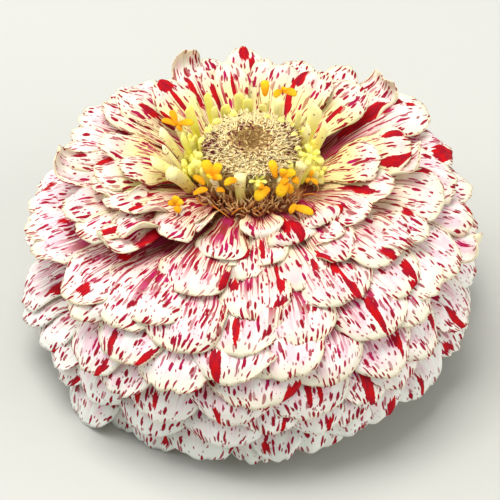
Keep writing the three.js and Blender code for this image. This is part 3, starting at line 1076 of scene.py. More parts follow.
@dataclass(frozen=True)
class RayPlan:
    """The rule that lays all ray petals, as in the solids."""

    dome: Dome
    view: View
    root_radius: float = 9.2
    claw: float = 0.36
    front_claw: float = 0.2
    broaden: float = 0.2
    inner_radius: float = 11.2
    inner_claw: float = 0.62
    inner_root_z: float = 36.7
    inner_rise: float = 0.9
    top_root_z: float = 34.6
    bottom_root_z: float = 14.0
    back_root_rise: float = 0.8
    front_lift: float = 2.2
    top_height: float = 0.95
    bottom_height: float = -0.5
    fill_count: int = 128
    fill_top_height: float = 0.87
    fill_clearance: float = 8.5
    narrow: float = 10.0
    broad: float = 14.0
    level_fall: float = 56.0
    fall_by_height: float = 0.72
    front_fall: float = 14.0
    back_lift: float = 26.0
    inner_fall: float = 20.0
    bend_share: float = 0.42
    twist: float = 7.0
    arch: float = 0.18
    inner_arch: float = 0.28
    cupped_arch: float = -0.5

    def share_at(self, height: float) -> float:
        """Give the share of the way from the crown to the foot at a height."""
        return (self.top_height - height) / (self.top_height - self.bottom_height)

    def petals(self) -> list[Blade]:
        """Lay all petals.

        Returns:
            Those with listed tips, golden-angle ones where no such tip is near, and inner ones.
        """
        ends = [self.dome.seen_at(self.view, (tip.across, tip.down)) for tip in SEEN_TIPS]
        petals = [self._petal(index, end, tip) for index, (tip, end) in enumerate(zip(SEEN_TIPS, ends))]
        for index in range(self.fill_count):
            share = (index + 0.5) / self.fill_count
            end = self._fill_end(index, share)
            if min(math.dist(end, other) for other in ends) >= self.fill_clearance:
                width = blend(self.narrow, self.broad, math.sqrt(share)) + spread(index, 5, 0.9)
                petals.append(self._petal(len(SEEN_TIPS) + index, end, Tip(0, 0, width)))
        for index, tip in enumerate(INNER_TIPS, FIRST_INNER):
            across, along, up = self.dome.seen_at(self.view, (tip.across, tip.down))
            petals.append(self._petal(index, (across, along, up + self.inner_rise), tip, inner=True))
        return petals

    def _fill_end(self, index: int, share: float) -> Point:
        """Place the tip of a golden-angle petal.

        Args:
            index: Its number among them.
            share: Its share of the way from the crown to the foot.

        Returns:
            The tip.
        """
        height = blend(self.fill_top_height, self.bottom_height, share)
        azimuth = index * GOLDEN_ANGLE + spread(index, 1, 3)
        power = self.dome.fullness(azimuth)
        reach = self.dome.radius * (1 - abs(height) ** power) ** (1 / power) + spread(index, 2, 1)
        size = self.dome.rise(azimuth) if height > 0 else self.dome.foot_depth
        angle = math.radians(azimuth)
        up = self.dome.widest_z + size * height + spread(index, 3, 0.8)
        return reach * math.cos(angle), reach * math.sin(angle), up

    def _petal(self, index: int, end: Point, plan: Tip, inner: bool = False) -> Blade:
        """Give one petal.

        Args:
            index: Its number.
            end: Its tip.
            plan: Its width, lean and style.
            inner: Whether it is a short one that grows from the heart's rim.

        Returns:
            The petal with its habit and marking.
        """
        azimuth, height, _ = self.dome.place(end)
        front, inward = frontness(azimuth), plan.style is Style.CUPPED
        share = min(1.0, max(0.0, self.share_at(height)))
        around = math.radians(azimuth + plan.lean)
        radius = self.inner_radius if inner else self.root_radius
        start = radius * math.cos(around), radius * math.sin(around)
        direction = math.atan2(end[1] - start[1], end[0] - start[0])
        along, beside = math.cos(direction), math.sin(direction)
        top = self.top_root_z + self.back_root_rise * (1 - front)
        top += self.front_lift * front * smooth(0.4, 0.1, share)
        root_z = self.inner_root_z if inner else blend(top, self.bottom_root_z, share)
        claw = self.claw + self.front_claw * front * smooth(0.4, 0.15, share)
        arch = self.inner_arch if inner else self.arch
        root = (start[0] * along + start[1] * beside, root_z)
        tip = (end[0] * along + end[1] * beside, max(0.0, end[2]))
        return Blade(
            number=index,
            azimuth=math.degrees(direction),
            offset=start[1] * along - start[0] * beside,
            root=root,
            bend=self._bend(root, tip, self._fall(index, height, front, inner)),
            tip=tip,
            width=plan.width * (1 + self.broaden * smooth(0.1, 0.25, share)),
            claw=self.inner_claw if inner else claw,
            tip_round=0.075 + spread(index, 8, 0.015),
            arch=self.cupped_arch if inward else arch + spread(index, 6, 0.05),
            twist=self.twist + spread(index, 7, 3),
            share=share,
            habit=self._habit(index, plan.style),
            marking=self._marking(index, height, front),
        )

    def _fall(self, index: int, height: float, front: float, inner: bool) -> float:
        """Say how steeply a petal falls at its tip.

        Args:
            index: Its number.
            height: Its tip's height as a share of the dome's.
            front: How far to the front it is, from 0 to 1.
            inner: Whether it is a short one in front of the disc.

        Returns:
            Degrees below level.
        """
        lifted = self.back_lift * (1 - front) * smooth(0.45, 0.85, height)
        slope = math.degrees(math.asin(min(1.0, max(-1.0, height))))
        fall = self.level_fall - self.fall_by_height * slope + self.front_fall * (front - 0.5) - lifted
        return fall + spread(index, 4, 5) + (self.inner_fall if inner else 0)

    def _bend(self, root: Profile, tip: Profile, fall: float) -> Profile:
        """Give the bend point that makes a petal arrive at its tip falling at an angle.

        Args:
            root: Radius and height of the root.
            tip: Radius and height of the tip.
            fall: Degrees below level at the tip.

        Returns:
            Radius and height of the bend point.
        """
        reach = self.bend_share * math.dist(root, tip)
        angle = math.radians(fall)
        return tip[0] - reach * math.cos(angle), tip[1] + reach * math.sin(angle)

    @staticmethod
    def _habit(index: int, style: Style) -> Habit:
        """Draw a petal's waves, pleats and notches, and bend it by its style.

        Args:
            index: Its number.
            style: How it is held.

        Returns:
            The habit.
        """
        habit = Habit(
            wave=0.3 + 0.9 * draw(index, 51) ** 2,
            wave_turns=1.1 + 1.8 * draw(index, 52),
            wave_start=6.28 * draw(index, 53),
            pleat=0.1 + 0.35 * draw(index, 54),
            notch=0.003 + 0.022 * draw(index, 55) ** 4,
            dent=0.5 + 0.35 * draw(index, 57),
            recurve=0.02 + 0.12 * draw(index, 56),
            ruffle=0.006 + 0.014 * draw(index, 58),
            peak=0.03 * draw(index, 59) ** 4,
        )
        return replace(habit, **STYLE_HABITS[style])

    @staticmethod
    def _marking(index: int, height: float, front: float) -> Marking:
        """Draw how strongly a petal is marked; the lowest ones are the plainest.

        Args:
            index: Its number.
            height: Its tip's height as a share of the dome's.
            front: How far to the front it is, from 0 to 1.

        Returns:
            The marking.
        """
        plain = 1 - 0.45 * smooth(0.1, -0.45, height)
        crown = smooth(0.55, 0.8, height) * blend(1.0, 0.1, smooth(0.45, 0.85, front))
        bold = plain * (1 + 0.3 * front * smooth(0.2, 0.6, height))
        return Marking(
            flecks=(0.3 + 0.65 * draw(index, 61)) * bold,
            streaks=(0.25 + 0.7 * draw(index, 62)) * bold,
            blush=(0.3 + 0.7 * draw(index, 63)) * plain,
            lime=max(crown, 0.3 * smooth(0.6, 0.9, height)),
        )


@dataclass(frozen=True)
class Stripe:
    """Where the view shows the middle of a wide red band, and how long and wide it is there, in pixels."""

    across: float
    down: float
    long: float
    wide: float


STRIPES = tuple(
    Stripe(*plan)
    for plan in (
        (107, 161, 25, 8), (75, 155, 20, 4), (149, 110, 25, 6), (162, 81, 25, 10), (195, 94, 36, 4),
        (190, 84, 22, 3), (244, 53, 14, 8), (48, 187, 9, 8), (64, 220, 10, 6), (150, 238, 30, 7),
        (298, 77, 26, 13), (287, 98, 34, 8), (252, 64, 16, 5), (364, 118, 62, 10), (397, 102, 12, 5),
        (411, 104, 9, 4), (393, 133, 22, 5), (400, 160, 36, 9), (408, 212, 12, 6), (446, 143, 14, 4),
        (448, 155, 22, 7), (467, 208, 14, 6), (333, 267, 16, 9), (411, 270, 26, 5), (391, 255, 24, 5),
        (407, 268, 20, 6), (414, 287, 16, 6), (400, 284, 10, 8), (378, 316, 44, 6), (399, 343, 24, 6),
        (351, 284, 40, 6), (316, 270, 22, 4), (280, 280, 26, 6), (279, 304, 9, 8), (455, 319, 32, 6),
        (432, 321, 18, 5), (291, 395, 30, 13), (309, 394, 24, 5), (320, 392, 20, 4), (368, 385, 44, 7),
        (392, 409, 22, 9), (422, 385, 22, 4), (285, 420, 24, 4), (266, 447, 12, 6), (330, 425, 16, 5),
        (447, 347, 10, 7), (84, 289, 14, 8), (124, 256, 10, 8), (236, 331, 26, 5), (215, 367, 36, 8),
        (225, 281, 22, 6), (234, 286, 10, 7), (247, 257, 16, 5), (110, 345, 28, 4), (99, 372, 28, 4),
        (75, 382, 18, 4), (56, 388, 13, 9), (55, 352, 9, 6), (137, 396, 16, 5), (155, 400, 16, 4),
        (218, 418, 16, 5), (166, 441, 12, 5), (145, 358, 24, 6), (130, 208, 30, 5), (113, 230, 28, 6),
        (60, 288, 26, 9), (300, 232, 30, 7), (284, 224, 20, 6), (274, 209, 12, 7), (322, 256, 22, 4),
        (342, 207, 40, 4), (360, 190, 36, 4), (425, 169, 12, 8), (262, 250, 18, 4), (216, 97, 30, 4),
        (233, 84, 26, 3), (330, 118, 40, 3), (344, 128, 34, 3), (179, 101, 30, 4), (169, 118, 24, 3),
    )
)


@dataclass
class Bloom:
    """All ray petals of the head, as four pieces from the disc outwards."""

    plan: RayPlan
    columns: int = 16
    rows: int = 26
    hidden_share: float = 0.3
    thickness: float = 0.4
    band_widening: float = 1.35
    band_step: float = 0.02
    least_length: float = 4.0
    least_width: float = 2.0
    pieces: tuple[tuple[str, float], ...] = (
        ("crown_petals", 0.82),
        ("upper_petals", 0.55),
        ("middle_petals", 0.1),
        ("lower_petals", -2.0),
    )

    def build(self) -> None:
        """Model the petals and dress them."""
        upper, under = PetalFinish().paint(), UndersideFinish().paint()
        petals = self.plan.petals()
        left, growths = petals, {}
        for name, lowest in self.pieces:
            share = self.plan.share_at(lowest)
            growths[name] = Growth()
            grown = [petal for petal in left if petal.share <= share]
            growths[name].add_blades(grown, self.columns, self.rows, self.hidden_share)
            left = [petal for petal in left if petal.share > share]
        bands = self._bands({petal.number: petal for petal in petals}, list(growths.values()))
        for name, growth in growths.items():
            growth.paint_bands(bands)
            settle(growth.sheet(name, self.thickness, upper, under), "petals", "ray_petals")

    def _bands(self, petals: Mapping[int, Blade], growths: Sequence[Growth]) -> dict[int, list[Band]]:
        """Lay the listed stripes along the veins of the petals that the view shows there.

        Args:
            petals: All petals by number.
            growths: The meshes that they have grown into.

        Returns:
            The bands of each petal that has any.
        """
        trees = [(growth, BVHTree.FromBMesh(growth.mesh)) for growth in growths]
        for growth in growths:
            growth.mesh.faces.ensure_lookup_table()
        view = self.plan.view
        eye, laid = Vector(view.eye) * MM, {}
        for stripe in STRIPES:
            ray = Vector(view.ray((stripe.across, stripe.down)))
            hits = [(growth, *tree.ray_cast(eye, ray)) for growth, tree in trees]
            hits = [hit for hit in hits if hit[1] is not None]
            if not hits:
                continue
            growth, place, _, face_index, _ = min(hits, key=lambda hit: hit[4])
            face = growth.mesh.faces[face_index]
            weights = interpolate.poly_3d_calc([vert.co for vert in face.verts], place)
            shapes = (vert[growth.shape] * weight for vert, weight in zip(face.verts, weights))
            u, v, _ = sum(shapes, Vector())
            petal = petals[face.verts[0][growth.number]]
            laid.setdefault(petal.number, []).append(self._band(petal, u, v, stripe, ray))
        return laid

    def _band(self, petal: Blade, u: float, v: float, stripe: Stripe, ray: Vector) -> Band:
        """Size one band so that it shows as long and wide as its stripe.

        Args:
            petal: The petal.
            u: The side place of the band's middle.
            v: The share of the petal's length there.
            stripe: The stripe.
            ray: The line of sight.

        Returns:
            The band.
        """
        step = self.band_step
        along = (petal.point(u, v + step) - petal.point(u, v - step)) / (2 * step)
        beside = (petal.point(u + step, v) - petal.point(u - step, v)) / (2 * step)
        per_pixel = self.plan.view.distance / self.plan.view.focal_pixels
        long = stripe.long * per_pixel / max(self.least_length, (along - ray * along.dot(ray)).length)
        seen_width = max(self.least_width, (beside - ray * beside.dot(ray)).length)
        half = self.band_widening * stripe.wide * per_pixel / 2 / seen_width
        return Band(u, half, v - long / 2, v + long / 2)


@dataclass
class Heart:
    """The dense heart of loose claws that the petals grow from; it shows only in the gaps between them. Its
    brown, tan-streaked lower part is painted shade for those deep gaps.
    """

    rim_radius: float = 11.4
    top_z: float = 37.0
    claws_below: float = 34.6
    # painted shade: the brown and tan of the lower heart stand in for the dark depths between the petals
    brown: Colour = "74301a"
    tan: Colour = "d08c50"
    pale: Colour = "efe3c4"
    red: Colour = "b8405a"

    def build(self) -> None:
        """Model the heart."""
        base = [(0.0, 6.6), (5.0, 6.6), (9.6, 9.6), (11.8, 12.5), (17.0, 16.5), (21.5, 21.0)]
        top = [(22.0, 26.0), (16.8, 32.2), (13.0, 35.0), (self.rim_radius, self.top_z), (0.0, self.top_z)]
        bench = Bench("petal_heart")
        streaks = bench.speckle(500.0)
        height = bench.split(bench.object_place())[2]
        # painted shade for the gaps between the petals: brown with tan streaks below the claws
        floor = bench.coats(self.brown, (streaks.rise(0.4, 0.65), self.tan))
        claws = bench.coats(self.pale, (streaks.rise(0.5, 0.6), self.red))
        colour = bench.coats(floor, (height.fall(self.claws_below * MM, (self.claws_below + 1) * MM), claws))
        material = bench.dress(colour, 0.9, streaks, 0.5)
        settle(turned("petal_heart", base + top, 56, material), "petals", "ray_petals")


@dataclass(frozen=True)
class Route:
    """A curve through the air from a start to an end, pulled towards a bend."""

    start: Vector
    bend: Vector
    end: Vector

    def at(self, v: float) -> Vector:
        """Give the point a share v of the way along."""
        rest = 1 - v
        return self.start * rest * rest + self.bend * 2 * rest * v + self.end * v * v

    def heading(self, v: float) -> Vector:
        """Give the direction there."""
        return ((self.bend - self.start) * (1 - v) + (self.end - self.bend) * v).normalized()


class Swell(Enum):
    """How the radius of a strand changes along it; both ends are closed.

    The fleshy ones give where the round tip starts, the radius at the root as a share of the largest one,
    and between which places it grows.
    """

    TAPER = "taper"
    TUBE = "tube"
    TONGUE = (0.62, 0.5, 0.0, 0.55)
    STRAP = (0.84, 0.6, 0.0, 0.8)
    BUD = (0.78, 0.62, 0.3, 0.8)

    def radius(self, v: float) -> float:
        """Give the radius at a place.

        Args:
            v: Share of the length.

        Returns:
            The radius as a share of the largest one.
        """
        if self is Swell.TAPER:
            return min(1.0, v / 0.1) ** 0.5 * (1 - v) ** 0.7
        if self is Swell.TUBE:
            return min(1.0, v / 0.04) * (0.7 + 0.3 * v) * (1.0 if v < 0.985 else 0.0)
        rounded, root, low, high = self.value
        tip = max(0.0, (v - rounded) / (1 - rounded))
        grown = min(1.0, v / 0.05) * blend(root, 1.0, smooth(low, high, v))
        return grown * math.sqrt(max(0.0, 1 - tip * tip))


@dataclass(frozen=True)
class Section:
    """A strand's cross section: its largest radius, how that changes, and how flat and channelled it is."""

    radius: float
    swell: Swell
    flat: float = 1.0
    channel: float = 0.0
    sides: int = 6
    steps: int = 8


class Spray:
    """Many strands in one piece; each vertex stores its share of the length, a chance and a stain."""

    def __init__(self) -> None:
        """Start with no strands."""
        self.strands: dict[tuple[int, int], list[tuple[Route, Section, float, Vector, float]]] = {}

    def add(self, route: Route, section: Section, chance: float, side: Vector, stain: float = 0.0) -> None:
        """Add one strand.

        Args:
            route: Its midline.
            section: Its cross section.
            chance: A number from 0 to 1 that its finish reads.
            side: The direction across it, away from its heading.
            stain: How strongly its tip is marked, from 0 to 1.
        """
        strands = self.strands.setdefault((section.sides, section.steps), [])
        strands.append((route, section, chance, side, stain))

    def finish(self, name: str, material: Material) -> Object:
        """Shape all strands, close them and turn them into a piece.

        Args:
            name: The piece's name.
            material: Its finish.

        Returns:
            The piece.
        """
        mesh = bmesh.new()
        trace = mesh.verts.layers.float_vector.new("strand_trace")
        for (sides, steps), strands in self.strands.items():
            grids = blanks(mesh, sides, steps, len(strands))
            for (route, section, chance, side, stain), verts in zip(strands, grids):
                for vert in verts:
                    turn, v = (vert.co.x + 1) * math.pi, (vert.co.y + 1) / 2
                    heading = route.heading(v)
                    normal = heading.cross(side).normalized()
                    reach = section.radius * section.swell.radius(v)
                    lift = reach * (math.sin(turn) * section.flat + section.channel * math.cos(turn) ** 2)
                    spot = route.at(v) + normal.cross(heading) * reach * math.cos(turn) + normal * lift
                    vert.co = spot * MM
                    vert[trace] = (v, chance, stain)
        bmesh.ops.remove_doubles(mesh, verts=mesh.verts[:], dist=2e-7)
        bmesh.ops.recalc_face_normals(mesh, faces=mesh.faces[:])
        return to_object(name, mesh, material)


@dataclass(frozen=True)
class StrandFinish:
    """The finish of strands: a root and a tip colour, some of an odd colour, marked tips and specks."""

    name: str
    root: Colour
    tip: Colour
    odd: Colour
    mark: Colour
    speck: Colour = "a8501c"
    odd_share: float = 0.3
    mark_from: float = 0.6
    roughness: float = 0.7
    fuzz: float = 0.1
    grain_scale: float = 1800.0
    grain_share: float = 0.25
    speck_scale: float = 1300.0
    specks: float = 0.0
    depth: float = 0.0

    def paint(self) -> Material:
        """Mix the finish.

        Returns:
            The material.
        """
        bench = Bench(self.name)
        v, chance, stain = bench.parts("strand_trace")
        fine = bench.speckle(self.grain_scale)
        spots = bench.speckle(self.speck_scale, 1.0).rise(0.66, 0.69)
        colour = bench.coats(
            self.root,
            (v.rise(0.15, 0.85), self.tip),
            (chance.fall(self.odd_share - 0.05, self.odd_share + 0.05) * 0.85, self.odd),
            (stain * v.rise(self.mark_from, self.mark_from + 0.2), self.mark),
            (fine.rise(0.45, 0.7) * self.grain_share, self.mark),
            (spots * self.specks, self.speck),
        )
        bench.soften(self.depth, (1.0, 0.8, 0.35), 0.6, 0.25)
        return bench.dress(colour, self.roughness, fine, self.fuzz)


CHAFF = StrandFinish(
    "disc_chaff", "fadc90", "fff2c0", "a07840", "701a2a",
    odd_share=0.14, mark_from=0.3, roughness=0.9, fuzz=0.03, grain_share=0.0,
)
LOBES = StrandFinish(
    "open_lobes", "f4a008", "ffcf20", "faa80c", "e68c06",
    roughness=0.85, fuzz=0.3, grain_scale=3200.0, depth=0.1,
)
LIME = StrandFinish(
    "lime_tubes", "e8ea58", "fff888", "fff2a0", "eed860",
    odd_share=0.4, roughness=0.65, grain_scale=700.0, grain_share=0.3, depth=0.3,
)
CREAM = StrandFinish(
    "cream_straps", "faec80", "fff6b4", "fff6c8", "f0cc70",
    odd_share=0.5, roughness=0.65, grain_scale=500.0, grain_share=0.35, specks=0.8, depth=0.3,
)
# dark red-brown roots: partly the dry tubes' own colour, partly painted shade in the pockets at their feet
WITHERED = StrandFinish(
    "withered_tubes", "a0481c", "ffd890", "d08458", "ffe8b0",
    odd_share=0.35, mark_from=0.4, roughness=0.8, depth=0.1,
)
STYLES = StrandFinish("curled_styles", "c8721c", "ea9a2a", "e0b060", "a85a18", roughness=0.6)
BRISTLES = StrandFinish("bristles", "9aa878", "e6ead2", "c9cfae", "8a9468")


@dataclass
class Disc:
    """The domed disc of buds, covered by dry chaff, with a dimple in its crown."""

    radius: float = 8.6
    base_z: float = 37.9
    rim_z: float = 44.1
    crown: float = 2.4
    dimple_depth: float = 2.2
    dimple_radius: float = 2.4
    brown_radius: float = 4.0
    floor_rings: int = 14
    top_scales: int = 3200
    wall_scales: int = 1100
    wall_depth: float = 3.4
    scale_length: float = 1.2
    scale_radius: float = 0.27
    straw: Colour = "f0c078"
    pale: Colour = "ffe8ac"
    brown: Colour = "84602f"

    def top(self, reach: float) -> float:
        """Give the height of the top at a distance from the axis."""
        dimple = self.dimple_depth * math.exp(-((reach / self.dimple_radius) ** 2))
        return self.rim_z + self.crown * math.cos(reach / self.radius * 1.32) - dimple

    def build(self) -> None:
        """Model the disc and its chaff."""
        profile = [(0.0, self.base_z), (7.8, self.base_z), (8.3, self.rim_z - 3), (8.0, self.rim_z - 0.6)]
        reaches = [7.6 * (1 - ring / self.floor_rings) for ring in range(self.floor_rings + 1)]
        profile += [(reach, self.top(reach) - 0.2) for reach in reaches]
        settle(turned("disc_body", profile, 48, self._floor()), "disc_chaff", "disc")
        spray = Spray()
        for index in range(self.top_scales):
            reach = (self.radius - 0.25) * math.sqrt((index + 0.5) / self.top_scales)
            self._scale(spray, index, reach, self.top(reach) - 0.15, blend(62, 90, draw(index, 73)))
        for index in range(self.wall_scales):
            height = self.rim_z - self.wall_depth * ((index + 0.5) / self.wall_scales)
            lean = blend(15, 60, draw(index, 79))
            self._scale(spray, self.top_scales + index, self.radius - 0.35, height, lean)
        settle(spray.finish("disc_scales", CHAFF.paint()), "disc_chaff", "disc")

    def _floor(self) -> Material:
        """Mix the finish under the chaff, which is browner in the dimple.

        Returns:
            The material.
        """
        bench = Bench("disc_floor")
        grain = bench.speckle(900.0)
        x, y, _ = bench.split(bench.object_place())
        near = ((x * x + y * y) ** 0.5).fall(self.dimple_radius * MM, self.brown_radius * MM)
        colour = bench.coats(self.straw, (grain.rise(0.4, 0.6), self.pale), (near, self.brown))
        return bench.dress(colour, 0.9, grain, 0.3)

    def _scale(self, spray: Spray, index: int, reach: float, height: float, lean: float) -> None:
        """Add one papery scale.

        Args:
            spray: The mesh that it joins.
            index: Its number.
            reach: Its distance from the axis.
            height: The height of its root.
            lean: Degrees that it leans away from upright.
        """
        azimuth = index * GOLDEN_ANGLE
        outward, across = radial(azimuth + spread(index, 72, 75))
        angle = math.radians(lean)
        rise = outward * math.sin(angle) + UP * math.cos(angle)
        length = self.scale_length * (0.6 + 0.8 * draw(index, 71))
        start = polar(azimuth, reach, height)
        curl = across * spread(index, 74, 0.8) + outward * (0.35 + spread(index, 75, 0.6)) - rise * 0.3
        route = Route(start, start + rise * length * 0.7, start + rise * length + curl)
        chance = max(0.0, draw(index, 76) - 0.65 * smooth(4.4, 2.6, reach))
        beside = abs(math.cos(math.radians(azimuth - 8))) ** 8 * smooth(4.8, 6.6, reach)
        ring = math.exp(-(((reach - 2.9) / 1.0) ** 2))
        cluster = 0.55 * beside + 0.5 * ring + 0.1 * smooth(0.1, 0.35, noise.noise(start * 0.4))
        stain = 1.0 if draw(index, 78) < 0.015 + cluster else 0.0
        section = Section(self.scale_radius * (0.5 + 0.9 * draw(index, 77)), Swell.TAPER, 0.22, -0.3, 4, 4)
        spray.add(route, section, chance, across, stain)


@dataclass(frozen=True)
class Lobe:
    """A floret's lobe: where the view shows its root and tip, how high both are, its width and chance."""

    root: Pixel
    tip: Pixel
    root_height: float
    tip_height: float
    width: float
    chance: float = 0.9


OPEN_LOBES = tuple(
    Lobe(*plan)
    for plan in (
        ((265, 97), (265, 80), 46.4, 48.0, 1.7), ((282, 91), (274, 97), 47.6, 46.6, 1.5),
        ((282, 91), (297, 95), 47.6, 46.6, 1.7), ((283, 93), (285, 88), 47.2, 47.8, 1.3),
        ((177, 126), (171, 110), 46.0, 47.4, 1.3, 0.1), ((177, 126), (161, 120), 46.0, 46.2, 1.2, 0.2),
        ((177, 125), (194, 123), 46.2, 46.0, 1.5), ((176, 127), (182, 131), 46.0, 45.0, 1.2, 0.1),
        ((212, 179), (204, 160), 44.2, 46.2, 2.0), ((213, 179), (220, 163), 44.2, 46.0, 1.8),
        ((212, 178), (208, 178), 44.2, 45.4, 1.5), ((213, 180), (222, 177), 44.2, 44.4, 1.6),
        ((193, 176), (205, 185), 45.0, 43.6, 1.3, 0.1), ((193, 195), (208, 189), 43.4, 43.2, 1.3, 0.1),
        ((174, 206), (177, 196), 40.6, 42.0, 1.4), ((176, 207), (183, 201), 40.6, 41.4, 1.4),
        ((174, 207), (180, 213), 40.6, 40.0, 1.3, 0.2), ((174, 206), (168, 203), 40.6, 41.0, 1.2, 0.2),
        ((237, 181), (224, 184), 45.0, 43.6, 1.7), ((225, 192), (216, 190), 42.0, 42.4, 1.2, 0.1),
        ((276, 179), (271, 160), 44.0, 46.0, 1.6), ((282, 178), (296, 172), 44.2, 44.8, 1.7),
        ((282, 178), (284, 169), 44.2, 45.4, 1.4), ((289, 180), (280, 185), 44.2, 43.2, 1.4, 0.2),
        ((288, 182), (278, 197), 43.8, 41.6, 2.2), ((270, 188), (255, 200), 43.2, 41.4, 2.2),
        ((291, 180), (299, 183), 43.8, 43.0, 1.5, 0.1), ((288, 184), (291, 194), 43.4, 41.6, 1.4, 0.05),
        ((310, 178), (313, 171), 42.6, 43.8, 0.9, 0.1), ((310, 179), (318, 185), 42.6, 42.0, 0.9, 0.1),
        ((310, 179), (306, 183), 42.6, 42.0, 0.8, 0.1), ((291, 207), (314, 214), 40.2, 39.0, 1.7, 0.8),
        ((264, 189), (258, 186), 43.2, 43.6, 1.2, 0.1), ((296, 204), (290, 214), 40.4, 39.4, 1.2, 0.1),
    )
)


@dataclass(frozen=True)
class Mouth:
    """Where the view shows the upper end of a tube, bud or strap, how high that is, and its radius."""

    across: float
    down: float
    height: float
    radius: float = 0.85


def mouths(*rows: tuple[float, ...]) -> tuple[Mouth, ...]:
    """List mouths, a row of values for each."""
    return tuple(Mouth(*row) for row in rows)


CLOSED_BUDS = mouths(
    (217, 118, 46.2), (202, 137, 45.6), (202, 168, 45.0), (210, 127, 46.0), (266, 115, 46.2),
    (293, 132, 45.8), (289, 161, 45.2), (198, 152, 45.4), (297, 146, 45.6), (280, 118, 46.0),
    (234, 111, 46.2), (196, 161, 45.2),
)
LIME_STARS = mouths((311, 155, 45.8, 1.7), (258, 180, 44.2, 1.2))
LIME_STRAPS = mouths(
    (239, 92, 47.6, 1.0), (226, 104, 47.0, 1.0), (248, 98, 47.2, 1.0), (207, 92, 47.8, 0.9),
    (189, 105, 47.4, 1.3), (182, 133, 46.2, 1.3), (197, 152, 45.2, 0.9), (299, 110, 47.6, 0.85),
    (262, 104, 46.8, 0.8), (214, 106, 46.8, 0.8),
)
CREAM_STRAPS = mouths(
    (160, 128, 46.2, 1.5), (162, 145, 45.6, 1.1), (150, 158, 44.6, 1.9), (316, 104, 47.8, 1.9),
    (308, 124, 46.8, 1.3), (326, 122, 46.6, 1.5), (178, 118, 47.0, 1.1),
)
CREAM_TUBES = mouths(
    (240, 174, 45.4, 1.2), (280, 97, 47.2, 0.95), (267, 96, 46.6, 0.75), (303, 162, 45.0, 1.2),
    (176, 126, 45.8, 0.6), (212, 178, 44.2, 0.7), (281, 178, 44.0, 0.7), (290, 181, 43.6, 0.7),
    (168, 172, 44.0, 1.5),
)
STYLE_LOOPS = (
    ((212, 205, 40.0), (222, 212, 40.6), (231, 219, 38.6)),
    ((231, 216, 38.8), (238, 205, 41.0), (250, 209, 39.0)),
    ((252, 205, 39.0), (256, 216, 38.6), (262, 206, 40.4)),
    ((272, 228, 37.4), (286, 226, 38.2), (283, 215, 39.6)),
    ((301, 196, 40.0), (316, 190, 41.0), (322, 200, 39.0)),
    ((312, 182, 42.0), (322, 186, 41.6), (316, 194, 40.2)),
    ((196, 196, 42.0), (200, 208, 41.0), (210, 203, 41.0)),
)


